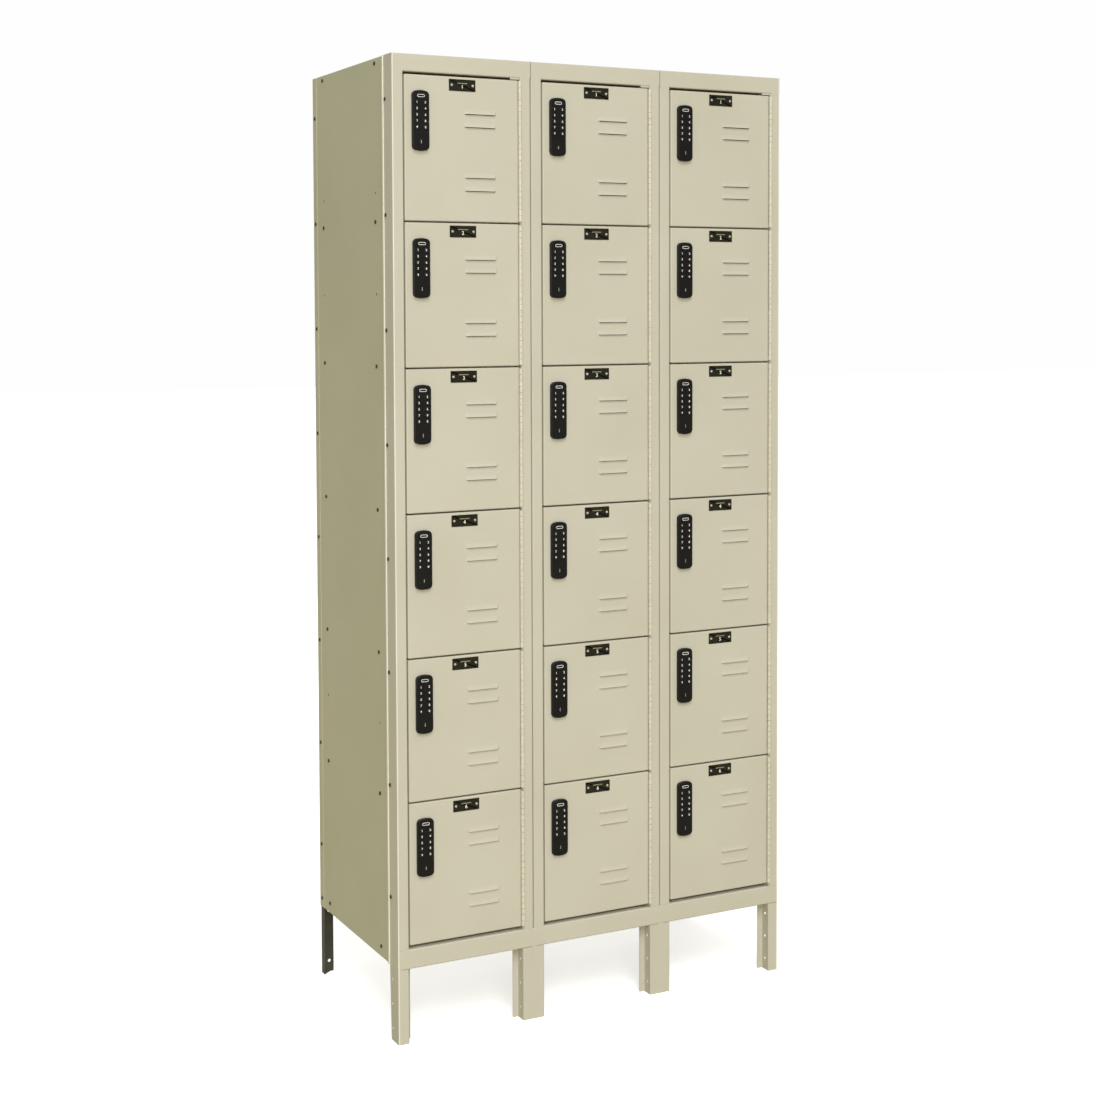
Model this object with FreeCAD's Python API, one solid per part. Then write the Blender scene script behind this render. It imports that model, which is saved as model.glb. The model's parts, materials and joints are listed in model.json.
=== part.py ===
import FreeCAD, Part
import math
import os
from FreeCAD import Vector

# Steel box locker: three columns of six compartments on legs.
# Millimetres. X runs to the right as seen from the front, Y from front to back, Z up from the floor.
# Pieces are drawn with x = 0 at the left side, y = 0 at the front face of the frame and z = 0 at the floor.

# ---------------------------------------------------------------- overall
COLUMNS = 3
TIERS = 6
COLUMN_PITCH = 304.8
HEIGHT = 1981.2
DEPTH = 457.2
LEG_HEIGHT = 152.4

# ---------------------------------------------------------------- sheet
FRAME_SHEET = 1.5
PANEL_SHEET = 0.8
DOOR_SHEET = 1.5
LEG_SHEET = 2.0
BEND_RADIUS = 1.5

# ---------------------------------------------------------------- frame
UPRIGHT_FACE = 23.7
SEAM_SETBACK = 0.8          # each upright stands this far from the column's own edge
WEB_DEPTH = 27.0
STRIKE_WIDTH = 12.0
OUTER_FLANGE = 44.0
FOOT_FLANGE = 38.0          # the outer flange tapers to this depth at the floor
HEADER_HEIGHT = 34.6
RAIL_HEIGHT = 39.7
RAIL_FLANGE = 25.0
RAIL_END_GAP = 0.15
CROSS_ABOVE = 10.0          # cross member above and below the gap between two doors
CROSS_BELOW = 22.0
CROSS_FLANGE = 15.0
LEG_HOLE_RADIUS = 3.2
LEG_HOLE_PITCH = 50.8
LEG_HOLE_FIRST = 25.4
LEG_HOLES = 3
WEB_HOLE_DEPTH = 14.0

# ---------------------------------------------------------------- sheet body
PANEL_FRONT = 6.0           # side panels and partitions start this far behind the front face
TONGUE_FRONT = 12.0         # the top and bottom panels reach this far forward, over or under a frame flange
BACK_FLANGE = 22.0
SHELF_FLANGE = 15.0
TOP_FLANGE = 16.0
BOTTOM_FLANGE = 28.0
CORNER_NOTCH = 8.0          # corners of shelves are notched past the bolts
TOP_NOTCH = 2.5             # the top only clears the flanges beside it
SHEET_GAP = 1.0

LUG_WIDTH = 21.0            # a lug on the header closes the gap over the door beside the hinge
LUG_DROP = 3.4
LUG_BEHIND_FACE = 1.5
LUG_GAP = 1.0

# ---------------------------------------------------------------- doors
DOOR_SIDE_GAP = 3.0
DOOR_TOP_GAP = 5.0
DOOR_ROW_GAP = 3.0
DOOR_BOTTOM_GAP = 7.5
DOOR_SETBACK = 1.0
DOOR_DEPTH = 18.0
LOUVRE_WIDTH = 72.0
LOUVRE_HEIGHT = 12.0
LOUVRE_PROUD = 3.5
LOUVRE_FROM_HINGE_SIDE = 50.0
LOUVRE_LIPS = (73.0, 99.0, 200.0, 226.0)   # lips of the louvres below the door's top edge

# ---------------------------------------------------------------- hinge
HINGE_RADIUS = 3.6
PIN_RADIUS = 1.6
PIN_CLEARANCE = 0.05
LEAF_SHEET = 1.2
LEAF_GAP = 0.3
LEAF_DEPTH = 16.0
HINGE_CLEARANCE = 0.3
HINGE_END = 2.0
KNUCKLE_PITCH = 12.7
KNUCKLE_GAP = 0.6

# ---------------------------------------------------------------- number plate
PLATE_WIDTH = 58.0
PLATE_HEIGHT = 23.5
PLATE_SHEET = 0.8
PLATE_BELOW_TOP = 5.0
RIVET_SPACING = 46.0
RIVET_RADIUS = 2.6
RIVET_HEIGHT = 1.2

# ---------------------------------------------------------------- lock
LOCK_WIDTH = 36.0
LOCK_HEIGHT = 119.0
LOCK_PROUD = 7.0
LOCK_CROWN = 3.5
LOCK_CORNER = 6.0
LOCK_EDGE = 2.0
LOCK_FROM_DOOR_EDGE = 15.0
LOCK_BELOW_TOP = 31.0
KEY_ROWS = 5
KEY_SPACING_X = 17.9
KEY_SPACING_Z = 12.3
FIRST_KEY_DOWN = 24.0
KEY_WIDTH = 11.0
KEY_HEIGHT = 8.0
KEY_PROUD = 0.9
KEY_LENGTH = 3.2
KEY_TRAVEL = 0.7
KEY_CLEARANCE = 0.3
KEY_SLOT_DOWN = 101.0
KEY_SLOT_WIDTH = 2.2
KEY_SLOT_HEIGHT = 7.0
KEY_SLOT_DEPTH = 3.5
CASE_SIDE = 1.0             # the rear case is this much wider than the front housing on each side
CASE_HEIGHT = 100.0
CASE_REAR = 37.0
CASE_WALL = 2.0
HOUSING_WALL = 3.0
HOUSING_FRONT_WALL = 4.5
BOLT_GUIDE = 2.4            # metal round the way that the bolt runs in
BOLT_HEIGHT = 12.0
BOLT_THICK = 6.0
BOLT_LENGTH = 28.0
BOLT_TRAVEL = 11.0
BOLT_NOSE = (3.0, 1.5)      # bevel on the nose, along the bolt and across it
BOLT_CLEARANCE = 0.3
BOLT_BEHIND_STRIKE = 1.6

# ---------------------------------------------------------------- rear legs
REAR_LEG_SIDE = 18.0
REAR_LEG_REAR = 27.0
REAR_LEG_LAP = 35.0
REAR_HOLE_RADIUS = 3.6
REAR_HOLES = (24.0, 138.0)
REAR_HOLE_IN = 17.0

# ---------------------------------------------------------------- fasteners
SHANK_RADIUS = 2.4
SHANK_CLEARANCE = 0.3
HEAD_RADIUS = 4.0
HEAD_HEIGHT = 1.8
NUT_ACROSS = 8.0
NUT_HEIGHT = 3.0
THREAD_PROUD = 1.0
FLANGE_BOLT_TOP = 87.0
FLANGE_BOLT_PITCH = 228.6
FRONT_BOLT_DEPTH = 36.0
REAR_BOLT_IN = 13.0
SHELF_BOLT_FRONT = 94.0
SHELF_BOLT_REAR = 61.0
LEG_BOLT_UP = 20.0
SPARE_HOLE_UP = 58.0        # unused shelf holes for other layouts, above the top shelf
SPARE_HOLE_SHELVES = (1.5, 4.5)

# ---------------------------------------------------------------- worked out
WIDTH = COLUMNS * COLUMN_PITCH
OPENING_TOP = HEIGHT - HEADER_HEIGHT
OPENING_BOTTOM = LEG_HEIGHT + RAIL_HEIGHT
DOOR_HEIGHT = (OPENING_TOP - OPENING_BOTTOM - DOOR_TOP_GAP - DOOR_BOTTOM_GAP
               - (TIERS - 1) * DOOR_ROW_GAP) / TIERS
TIER_PITCH = DOOR_HEIGHT + DOOR_ROW_GAP

LOCK_SIDE_EDGE = SEAM_SETBACK + UPRIGHT_FACE
HINGE_SIDE_EDGE = COLUMN_PITCH - SEAM_SETBACK - UPRIGHT_FACE
DOOR_LEFT = LOCK_SIDE_EDGE + DOOR_SIDE_GAP
DOOR_RIGHT = HINGE_SIDE_EDGE - 2 * LEAF_SHEET - LEAF_GAP
DOOR_REAR = DOOR_SETBACK + DOOR_DEPTH
DOOR_BACK_OF_SHEET = DOOR_SETBACK + DOOR_SHEET

HINGE_X = HINGE_SIDE_EDGE - LEAF_SHEET - LEAF_GAP / 2
_corner_across = LEAF_GAP / 2 + LEAF_SHEET + BEND_RADIUS
_corner_reach = HINGE_RADIUS + HINGE_CLEARANCE + BEND_RADIUS
HINGE_Y = BEND_RADIUS - math.sqrt(_corner_reach ** 2 - _corner_across ** 2)
HINGE_LENGTH = DOOR_HEIGHT - 2 * HINGE_END
KNUCKLES = 2 * round((HINGE_LENGTH / KNUCKLE_PITCH - 1) / 2) + 1

LOCK_LEFT = DOOR_LEFT + LOCK_FROM_DOOR_EDGE
LOCK_FACE = DOOR_SETBACK - LOCK_PROUD
BOLT_FRONT = WEB_DEPTH + BOLT_BEHIND_STRIKE
CASE_LEFT = LOCK_LEFT - CASE_SIDE
BACK_FACE = DEPTH - PANEL_SHEET     # inner face of the back panels

FRONT_MOST = LOCK_FACE - KEY_PROUD
Y_MIDDLE = (FRONT_MOST + DEPTH) / 2


# ---------------------------------------------------------------- helpers
def box(x0, y0, z0, x1, y1, z1):
    return Part.makeBox(x1 - x0, y1 - y0, z1 - z0, Vector(x0, y0, z0))


def rod(radius, length, start, direction):
    return Part.makeCylinder(radius, length, Vector(*start), Vector(*direction))


def prism(points, direction):
    """A flat outline pushed along a direction."""
    corners = [Vector(*p) for p in points]
    wire = Part.makePolygon(corners + [corners[0]])
    return Part.Face(wire).extrude(Vector(*direction))


def moved(shape, x=0.0, y=0.0, z=0.0):
    copy = shape.copy()
    copy.translate(Vector(x, y, z))
    return copy


def mirrored(shape, x):
    """The same piece turned left for right about the upright plane at x."""
    return shape.mirror(Vector(x, 0, 0), Vector(1, 0, 0))


def joined(shapes):
    return shapes[0].fuse(shapes[1:]).removeSplitter().Solids[0]


def drilled(shape, tools):
    return shape.cut(tools).Solids[0] if tools else shape


def bent(solid, places, radius):
    """Round the upright edges that stand at the given (x, y) places."""
    edges = []
    for edge in solid.Edges:
        a, b = edge.Vertexes[0].Point, edge.Vertexes[-1].Point
        upright = abs(a.x - b.x) < 0.01 and abs(a.y - b.y) < 0.01
        if upright and any(abs(a.x - x) < 0.01 and abs(a.y - y) < 0.01 for x, y in places):
            edges.append(edge)
    return solid.makeFillet(radius, edges).Solids[0]


def save(name, solids):
    group = Part.makeCompound([moved(s, -WIDTH / 2, -Y_MIDDLE) for s in solids])
    group.exportStep("parts/" + name + ".step")
    print(name, len(group.Solids), "solids", round(group.Volume / 1000.0, 1), "cm3")


def door_top(row):
    """Height of the top edge of a door; row 1 is the highest."""
    return OPENING_TOP - DOOR_TOP_GAP - (row - 1) * TIER_PITCH


def gap_height(row):
    """Height of the middle of the gap under a row of doors."""
    return door_top(row) - DOOR_HEIGHT - DOOR_ROW_GAP / 2


def shelf_height(row):
    """Underside of the shelf under a row of compartments."""
    return gap_height(row) + CROSS_ABOVE


def panel_faces(index):
    """Left and right faces of a side panel or partition, counted from the left side."""
    if index == 0:
        return SEAM_SETBACK + FRAME_SHEET, SEAM_SETBACK + FRAME_SHEET + PANEL_SHEET
    if index == COLUMNS:
        return WIDTH - SEAM_SETBACK - FRAME_SHEET - PANEL_SHEET, WIDTH - SEAM_SETBACK - FRAME_SHEET
    middle = index * COLUMN_PITCH
    return middle - PANEL_SHEET / 2, middle + PANEL_SHEET / 2


def bay(column):
    """Clear width of a column between its two panels."""
    return panel_faces(column)[1], panel_faces(column + 1)[0]


# ---------------------------------------------------------------- where the bolts go
def flange_bolt_heights():
    count = int((HEIGHT - FLANGE_BOLT_TOP - LEG_HEIGHT - HEAD_RADIUS) / FLANGE_BOLT_PITCH) + 1
    return [HEIGHT - FLANGE_BOLT_TOP - n * FLANGE_BOLT_PITCH for n in range(count)]


def shelf_bolt_heights():
    return [shelf_height(row) - SHELF_FLANGE / 2 for row in range(1, TIERS)]


def top_bolt_height():
    return HEIGHT - FRAME_SHEET - PANEL_SHEET - TOP_FLANGE / 2


def bottom_bolt_height():
    return OPENING_BOTTOM - BOTTOM_FLANGE / 2 - HEAD_RADIUS


def spare_hole_heights():
    first = shelf_bolt_heights()[0]
    return [first + SPARE_HOLE_UP] + [first - (n - 1) * TIER_PITCH for n in SPARE_HOLE_SHELVES]


def front_places():
    return [(FRONT_BOLT_DEPTH, z) for z in flange_bolt_heights()]


def rear_places():
    return [(DEPTH - REAR_BOLT_IN, z) for z in flange_bolt_heights()]


def leg_places():
    return [(DEPTH - REAR_BOLT_IN, LEG_HEIGHT + LEG_BOLT_UP)]


def pan_places(height):
    return [(SHELF_BOLT_FRONT, height), (DEPTH - SHELF_BOLT_REAR, height)]


def all_pan_places():
    heights = [top_bolt_height(), bottom_bolt_height()] + shelf_bolt_heights()
    return [place for z in heights for place in pan_places(z)]


def spare_places():
    return [place for z in spare_hole_heights() for place in pan_places(z)]


def holes(places, x0, x1, radius=SHANK_RADIUS + SHANK_CLEARANCE):
    """Round cutters across a sheet, at (y, z) places."""
    return [rod(radius, x1 - x0, (x0, y, z), (1, 0, 0)) for y, z in places]


# ---------------------------------------------------------------- frame
def upright():
    """Lock-side upright of the first column: outer flange, face, inner web and strike flange."""
    s, t = SEAM_SETBACK, FRAME_SHEET
    inner = LOCK_SIDE_EDGE
    outline = [(s, 0), (inner, 0), (inner, WEB_DEPTH - t), (inner + STRIKE_WIDTH, WEB_DEPTH - t),
               (inner + STRIKE_WIDTH, WEB_DEPTH), (inner - t, WEB_DEPTH), (inner - t, t),
               (s + t, t), (s + t, OUTER_FLANGE), (s, OUTER_FLANGE)]
    body = prism([(x, y, 0) for x, y in outline], (0, 0, OPENING_TOP))
    body = bent(body, [(s, 0), (inner, 0)], BEND_RADIUS)
    strip = box(s, t, OPENING_TOP, s + t, OUTER_FLANGE, HEIGHT)
    body = joined([body, strip])
    taper = prism([(0, FOOT_FLANGE, 0), (0, OUTER_FLANGE + 1, 0), (0, OUTER_FLANGE + 1, LEG_HEIGHT),
                   (0, OUTER_FLANGE, LEG_HEIGHT)], (s + 2 * t, 0, 0))
    rail_seat = box(s - 1, -1, LEG_HEIGHT, inner + 1, t, OPENING_BOTTOM)
    leg_heights = [LEG_HOLE_FIRST + n * LEG_HOLE_PITCH for n in range(LEG_HOLES)]
    tools = [taper, rail_seat]
    tools += holes([(WEB_HOLE_DEPTH, z) for z in leg_heights], inner - 2 * t, inner + t, LEG_HOLE_RADIUS)
    tools += holes([(FOOT_FLANGE - 2 * LEG_HOLE_RADIUS, z) for z in leg_heights], s - t, s + 2 * t,
                   LEG_HOLE_RADIUS)
    tools += holes(front_places(), s - t, s + 2 * t)
    return drilled(body, tools)


def frame_uprights():
    lock_side = upright()
    hinge_side = mirrored(lock_side, COLUMN_PITCH / 2)
    pieces = []
    for column in range(COLUMNS):
        pieces.append(moved(lock_side, column * COLUMN_PITCH))
        pieces.append(moved(hinge_side, column * COLUMN_PITCH))
    return pieces


def header():
    """Channel across the top of one column, open to the back."""
    t = FRAME_SHEET
    inside = SEAM_SETBACK + t + PANEL_SHEET
    face = box(RAIL_END_GAP, 0, OPENING_TOP, COLUMN_PITCH - RAIL_END_GAP, t, HEIGHT)
    upper = box(inside, 0, HEIGHT - t, COLUMN_PITCH - inside, RAIL_FLANGE, HEIGHT)
    lower = box(inside, 0, OPENING_TOP, COLUMN_PITCH - inside, RAIL_FLANGE, OPENING_TOP + t)
    lug = box(HINGE_SIDE_EDGE - LUG_WIDTH, LUG_BEHIND_FACE, OPENING_TOP - LUG_DROP,
              HINGE_SIDE_EDGE - LUG_GAP, LUG_BEHIND_FACE + t, OPENING_TOP + t)
    return joined([face, upper, lower, lug])


def bottom_rail():
    """Channel across the foot of one column; its flanges lie between the two webs."""
    t = FRAME_SHEET
    face = box(RAIL_END_GAP, 0, LEG_HEIGHT, COLUMN_PITCH - RAIL_END_GAP, t, OPENING_BOTTOM)
    upper = box(LOCK_SIDE_EDGE, 0, OPENING_BOTTOM - t, HINGE_SIDE_EDGE, RAIL_FLANGE, OPENING_BOTTOM)
    lower = box(LOCK_SIDE_EDGE, 0, LEG_HEIGHT, HINGE_SIDE_EDGE, RAIL_FLANGE, LEG_HEIGHT + t)
    return joined([face, upper, lower])


def frame_rails():
    pieces = []
    for column in range(COLUMNS):
        pieces.append(moved(header(), column * COLUMN_PITCH))
        pieces.append(moved(bottom_rail(), column * COLUMN_PITCH))
    return pieces


def cross_member(row):
    """Channel behind the gap between two doors, welded behind both strike flanges."""
    t = FRAME_SHEET
    x0, x1 = LOCK_SIDE_EDGE, HINGE_SIDE_EDGE
    z0, z1 = gap_height(row) - CROSS_BELOW, gap_height(row) + CROSS_ABOVE
    front, rear = WEB_DEPTH, WEB_DEPTH + CROSS_FLANGE
    face = box(x0, front, z0, x1, front + t, z1)
    upper = box(x0, front, z1 - t, x1, rear, z1)
    lower = box(x0, front, z0, x1, rear, z0 + t)
    return joined([face, upper, lower])


def frame_cross_members():
    return [moved(cross_member(row), column * COLUMN_PITCH)
            for column in range(COLUMNS) for row in range(1, TIERS)]


# ---------------------------------------------------------------- sheet body
def wall(index):
    """A side panel or partition with all its bolt holes and the unused shelf holes."""
    x0, x1 = panel_faces(index)
    outside = index in (0, COLUMNS)
    rear = BACK_FACE if outside else DEPTH
    sheet = box(x0, PANEL_FRONT, LEG_HEIGHT, x1, rear, HEIGHT)
    places = front_places() + rear_places() + all_pan_places() + spare_places()
    if outside:
        places += leg_places()
    return drilled(sheet, holes(places, x0 - 1, x1 + 1))


def back_panel(column):
    """Back sheet; its flanges lap outside the side panels, and inside the bay at a partition."""
    left, right = bay(column)
    t = PANEL_SHEET
    x0 = left - 2 * t if column == 0 else left
    x1 = right + 2 * t if column == COLUMNS - 1 else right
    front = DEPTH - BACK_FLANGE
    sheet = box(x0, BACK_FACE, LEG_HEIGHT, x1, DEPTH, HEIGHT)
    left_flange = box(x0, front, LEG_HEIGHT, x0 + t, DEPTH, HEIGHT)
    right_flange = box(x1 - t, front, LEG_HEIGHT, x1, DEPTH, HEIGHT)
    left_tools = holes(rear_places() + (leg_places() if column == 0 else []), x0 - 1, x0 + t + 1)
    right_tools = holes(rear_places() + (leg_places() if column == COLUMNS - 1 else []), x1 - t - 1, x1 + 1)
    return drilled(joined([sheet, left_flange, right_flange]), left_tools + right_tools)


def pan(column, front, top, flange, bolt_height, notch=CORNER_NOTCH):
    """A shelf, top or bottom: a notched flat sheet with flanges turned down at the sides and the back."""
    left, right = bay(column)
    t = PANEL_SHEET
    wide_front = OUTER_FLANGE + SHEET_GAP
    wide_rear = DEPTH - BACK_FLANGE - SHEET_GAP
    outline = [(left + notch, front), (right - notch, front), (right - notch, wide_front),
               (right, wide_front), (right, wide_rear), (right - notch, wide_rear),
               (right - notch, BACK_FACE), (left + notch, BACK_FACE), (left + notch, wide_rear),
               (left, wide_rear), (left, wide_front), (left + notch, wide_front)]
    flat = prism([(x, y, top - t) for x, y in outline], (0, 0, t))
    parts = [flat,
             box(left, wide_front, top - flange, left + t, wide_rear, top),
             box(right - t, wide_front, top - flange, right, wide_rear, top),
             box(left + REAR_LEG_REAR + CORNER_NOTCH, BACK_FACE - t, top - flange,
                 right - REAR_LEG_REAR - CORNER_NOTCH, BACK_FACE, top)]
    places = pan_places(bolt_height)
    tools = holes(places, left - 1, left + t + 1) + holes(places, right - t - 1, right + 1)
    return drilled(joined(parts), tools)


def shelves():
    t = PANEL_SHEET
    front = WEB_DEPTH + SHEET_GAP
    return [pan(column, front, shelf_height(row) + t, SHELF_FLANGE + t, shelf_height(row) - SHELF_FLANGE / 2)
            for column in range(COLUMNS) for row in range(1, TIERS)]


def top_panels():
    top = HEIGHT - FRAME_SHEET
    return [pan(column, TONGUE_FRONT, top, TOP_FLANGE + PANEL_SHEET, top_bolt_height(), TOP_NOTCH)
            for column in range(COLUMNS)]


def bottom_panels():
    """The floor of each column, with a tongue that lies on the rail between the strike flanges."""
    t = PANEL_SHEET
    top = OPENING_BOTTOM + t
    pieces = []
    for column in range(COLUMNS):
        shift = column * COLUMN_PITCH
        body = pan(column, WEB_DEPTH + SHEET_GAP, top, BOTTOM_FLANGE + t, bottom_bolt_height())
        tongue = box(shift + LOCK_SIDE_EDGE + STRIKE_WIDTH + SHEET_GAP, TONGUE_FRONT, OPENING_BOTTOM,
                     shift + HINGE_SIDE_EDGE - STRIKE_WIDTH - SHEET_GAP, WEB_DEPTH + 2 * SHEET_GAP, top)
        pieces.append(joined([body, tongue]))
    return pieces


def rear_leg():
    """Left rear leg: an angle inside the corner of the body, with a small foot tab."""
    x0 = panel_faces(0)[1]
    t = LEG_SHEET
    top = LEG_HEIGHT + REAR_LEG_LAP
    side = box(x0, BACK_FACE - REAR_LEG_SIDE, 0, x0 + t, BACK_FACE, top)
    rear = box(x0, BACK_FACE - t, 0, x0 + REAR_LEG_REAR, BACK_FACE, top)
    tab = prism([(x0, BACK_FACE - REAR_LEG_SIDE, 0), (x0 + REAR_LEG_REAR * 0.8, BACK_FACE, 0),
                 (x0, BACK_FACE, 0)], (0, 0, t))
    tools = [rod(REAR_HOLE_RADIUS, 3 * t, (x0 + REAR_HOLE_IN, BACK_FACE - 2 * t, z), (0, 1, 0))
             for z in REAR_HOLES]
    tools += holes(leg_places(), x0 - 1, x0 + t + 1)
    return drilled(joined([side, rear, tab]), tools)


def rear_legs():
    left = rear_leg()
    return [left, mirrored(left, WIDTH / 2)]


# ---------------------------------------------------------------- hinge
def knuckle_spans():
    """Bottom and top of every knuckle above the hinge's lower end, with True for the fixed leaf's."""
    pitch = HINGE_LENGTH / KNUCKLES
    return [(n * pitch + KNUCKLE_GAP / 2, (n + 1) * pitch - KNUCKLE_GAP / 2, n % 2 == 0)
            for n in range(KNUCKLES)]


def leaf(fixed, base):
    """One leaf of the hinge of the first column, with its rolled knuckles. base is the lower end."""
    if fixed:
        x0, x1 = HINGE_X + LEAF_GAP / 2, HINGE_X + LEAF_GAP / 2 + LEAF_SHEET
    else:
        x0, x1 = HINGE_X - LEAF_GAP / 2 - LEAF_SHEET, HINGE_X - LEAF_GAP / 2
    bore = PIN_RADIUS + PIN_CLEARANCE
    strip_front = HINGE_Y + HINGE_RADIUS + HINGE_CLEARANCE
    tab_front = HINGE_Y + (bore + HINGE_RADIUS) / 2
    parts = [box(x0, strip_front, base, x1, strip_front + LEAF_DEPTH, base + HINGE_LENGTH)]
    for low, high, is_fixed in knuckle_spans():
        if is_fixed != fixed:
            continue
        tube = rod(HINGE_RADIUS, high - low, (HINGE_X, HINGE_Y, base + low), (0, 0, 1))
        parts.append(tube)
        parts.append(box(x0, tab_front, base + low, x1, strip_front + 1, base + high))
    solid = joined(parts)
    return drilled(solid, [rod(bore, HINGE_LENGTH + 2, (HINGE_X, HINGE_Y, base - 1), (0, 0, 1))])


def hinge_base(row):
    return door_top(row) - DOOR_HEIGHT + HINGE_END


def each_compartment():
    return [(column, row) for column in range(COLUMNS) for row in range(1, TIERS + 1)]


def hinge_fixed_leaves():
    first = leaf(True, hinge_base(1))
    return [moved(first, column * COLUMN_PITCH, 0, (1 - row) * TIER_PITCH)
            for column, row in each_compartment()]


def hinge_pins():
    return [rod(PIN_RADIUS, HINGE_LENGTH, (HINGE_X + column * COLUMN_PITCH, HINGE_Y, hinge_base(row)), (0, 0, 1))
            for column, row in each_compartment()]


# ---------------------------------------------------------------- door
def louvre_hood(x0, x1, lip, grow):
    """Wedge that stands proud of the door above the lip; grow shrinks it for the hollow behind."""
    y = DOOR_SETBACK
    outline = [(x0 + grow, y + DOOR_SHEET, lip + LOUVRE_HEIGHT - grow), (x0 + grow, y + DOOR_SHEET, lip),
               (x0 + grow, y - LOUVRE_PROUD + grow, lip), (x0 + grow, y, lip + LOUVRE_HEIGHT - grow)]
    return prism(outline, (x1 - x0 - 2 * grow, 0, 0))


def door_pan():
    """Front sheet with four returned edges and two pairs of louvres, for the first column's top door."""
    top = door_top(1)
    bottom = top - DOOR_HEIGHT
    t = DOOR_SHEET
    block = box(DOOR_LEFT, DOOR_SETBACK, bottom, DOOR_RIGHT, DOOR_REAR, top)
    block = bent(block, [(DOOR_LEFT, DOOR_SETBACK), (DOOR_RIGHT, DOOR_SETBACK)], BEND_RADIUS)
    hollow = box(DOOR_LEFT + t, DOOR_BACK_OF_SHEET, bottom + t, DOOR_RIGHT - t, DOOR_REAR + 1, top - t)
    sheet = block.cut(hollow)
    x1 = DOOR_RIGHT - LOUVRE_FROM_HINGE_SIDE
    x0 = x1 - LOUVRE_WIDTH
    hoods = [louvre_hood(x0, x1, top - down, 0) for down in LOUVRE_LIPS]
    hollows = [louvre_hood(x0, x1, top - down, t * 0.8) for down in LOUVRE_LIPS]
    return drilled(joined([sheet] + hoods), hollows)


def number_plate():
    middle = (DOOR_LEFT + DOOR_RIGHT) / 2
    top = door_top(1) - PLATE_BELOW_TOP
    face = DOOR_SETBACK - PLATE_SHEET
    plate = box(middle - PLATE_WIDTH / 2, face, top - PLATE_HEIGHT, middle + PLATE_WIDTH / 2, DOOR_SETBACK, top)
    rivets = []
    for side in (-1, 1):
        x, z = middle + side * RIVET_SPACING / 2, top - PLATE_HEIGHT / 2
        rivets.append(rod(RIVET_RADIUS, RIVET_HEIGHT, (x, face, z), (0, -1, 0)))
    return [plate] + rivets


def lock_outline(y):
    """Face of the lock housing, with a crowned top and bottom."""
    x0, x1 = LOCK_LEFT, LOCK_LEFT + LOCK_WIDTH
    middle = LOCK_LEFT + LOCK_WIDTH / 2
    z1 = door_top(1) - LOCK_BELOW_TOP
    z0 = z1 - LOCK_HEIGHT
    low, high = z0 + LOCK_CROWN, z1 - LOCK_CROWN
    top_arc = Part.Arc(Vector(x0, y, high), Vector(middle, y, z1), Vector(x1, y, high)).toShape()
    foot_arc = Part.Arc(Vector(x1, y, low), Vector(middle, y, z0), Vector(x0, y, low)).toShape()
    right = Part.makeLine(Vector(x1, y, high), Vector(x1, y, low))
    left = Part.makeLine(Vector(x0, y, low), Vector(x0, y, high))
    return Part.Face(Part.Wire([top_arc, right, foot_arc, left]))


def lock_block():
    solid = lock_outline(LOCK_FACE).extrude(Vector(0, LOCK_PROUD, 0))
    corners = [e for e in solid.Edges
               if abs(abs(e.Vertexes[0].Y - e.Vertexes[-1].Y) - LOCK_PROUD) < 0.01]
    solid = solid.makeFillet(LOCK_CORNER, corners)
    rim = [e for e in solid.Edges if max(abs(v.Y - LOCK_FACE) for v in e.Vertexes) < 0.01
           and abs(e.BoundBox.YMax - LOCK_FACE) < 0.01]
    return solid.makeFillet(LOCK_EDGE, rim).Solids[0]


def key_centres():
    """Centres of the ten keys, row by row from the top left."""
    middle = LOCK_LEFT + LOCK_WIDTH / 2
    top = door_top(1) - LOCK_BELOW_TOP - FIRST_KEY_DOWN
    return [(middle + side * KEY_SPACING_X / 2, top - n * KEY_SPACING_Z)
            for n in range(KEY_ROWS) for side in (-1, 1)]


def key_block(x, z, front, rear, grow=0.0):
    """A key with round ends, or with grow the well that it runs in."""
    radius = KEY_HEIGHT / 2 + grow
    half = KEY_WIDTH / 2 - KEY_HEIGHT / 2
    bar = box(x - half, front, z - radius, x + half, rear, z + radius)
    ends = [rod(radius, rear - front, (x + side * half, front, z), (0, 1, 0)) for side in (-1, 1)]
    return joined([bar] + ends)


def key_slot():
    middle = LOCK_LEFT + LOCK_WIDTH / 2
    z = door_top(1) - LOCK_BELOW_TOP - KEY_SLOT_DOWN
    return box(middle - KEY_SLOT_WIDTH / 2, LOCK_FACE - 1, z - KEY_SLOT_HEIGHT / 2,
               middle + KEY_SLOT_WIDTH / 2, LOCK_FACE + KEY_SLOT_DEPTH, z + KEY_SLOT_HEIGHT / 2)


def key_piece(x, z):
    front = LOCK_FACE - KEY_PROUD
    return key_block(x, z, front, front + KEY_LENGTH)


def lock_housing(separate_keys):
    """Front housing. With separate keys it has a well for each; otherwise the keys are part of it."""
    z1 = door_top(1) - LOCK_BELOW_TOP - LOCK_CROWN - HOUSING_WALL
    z0 = z1 - LOCK_HEIGHT + 2 * (LOCK_CROWN + HOUSING_WALL)
    hollow = box(LOCK_LEFT + HOUSING_WALL, LOCK_FACE + HOUSING_FRONT_WALL, z0,
                 LOCK_LEFT + LOCK_WIDTH - HOUSING_WALL, DOOR_SETBACK + 1, z1)
    body = drilled(lock_block(), [key_slot(), hollow])
    if separate_keys:
        floor = LOCK_FACE - KEY_PROUD + KEY_LENGTH + KEY_TRAVEL + KEY_CLEARANCE
        wells = [key_block(x, z, LOCK_FACE - 1, floor, KEY_CLEARANCE) for x, z in key_centres()]
        return drilled(body, wells)
    pads = [key_block(x, z, LOCK_FACE - KEY_PROUD, LOCK_FACE + 1) for x, z in key_centres()]
    return joined([body] + pads)


def bolt_height():
    return door_top(1) - LOCK_BELOW_TOP - LOCK_HEIGHT / 2


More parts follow.
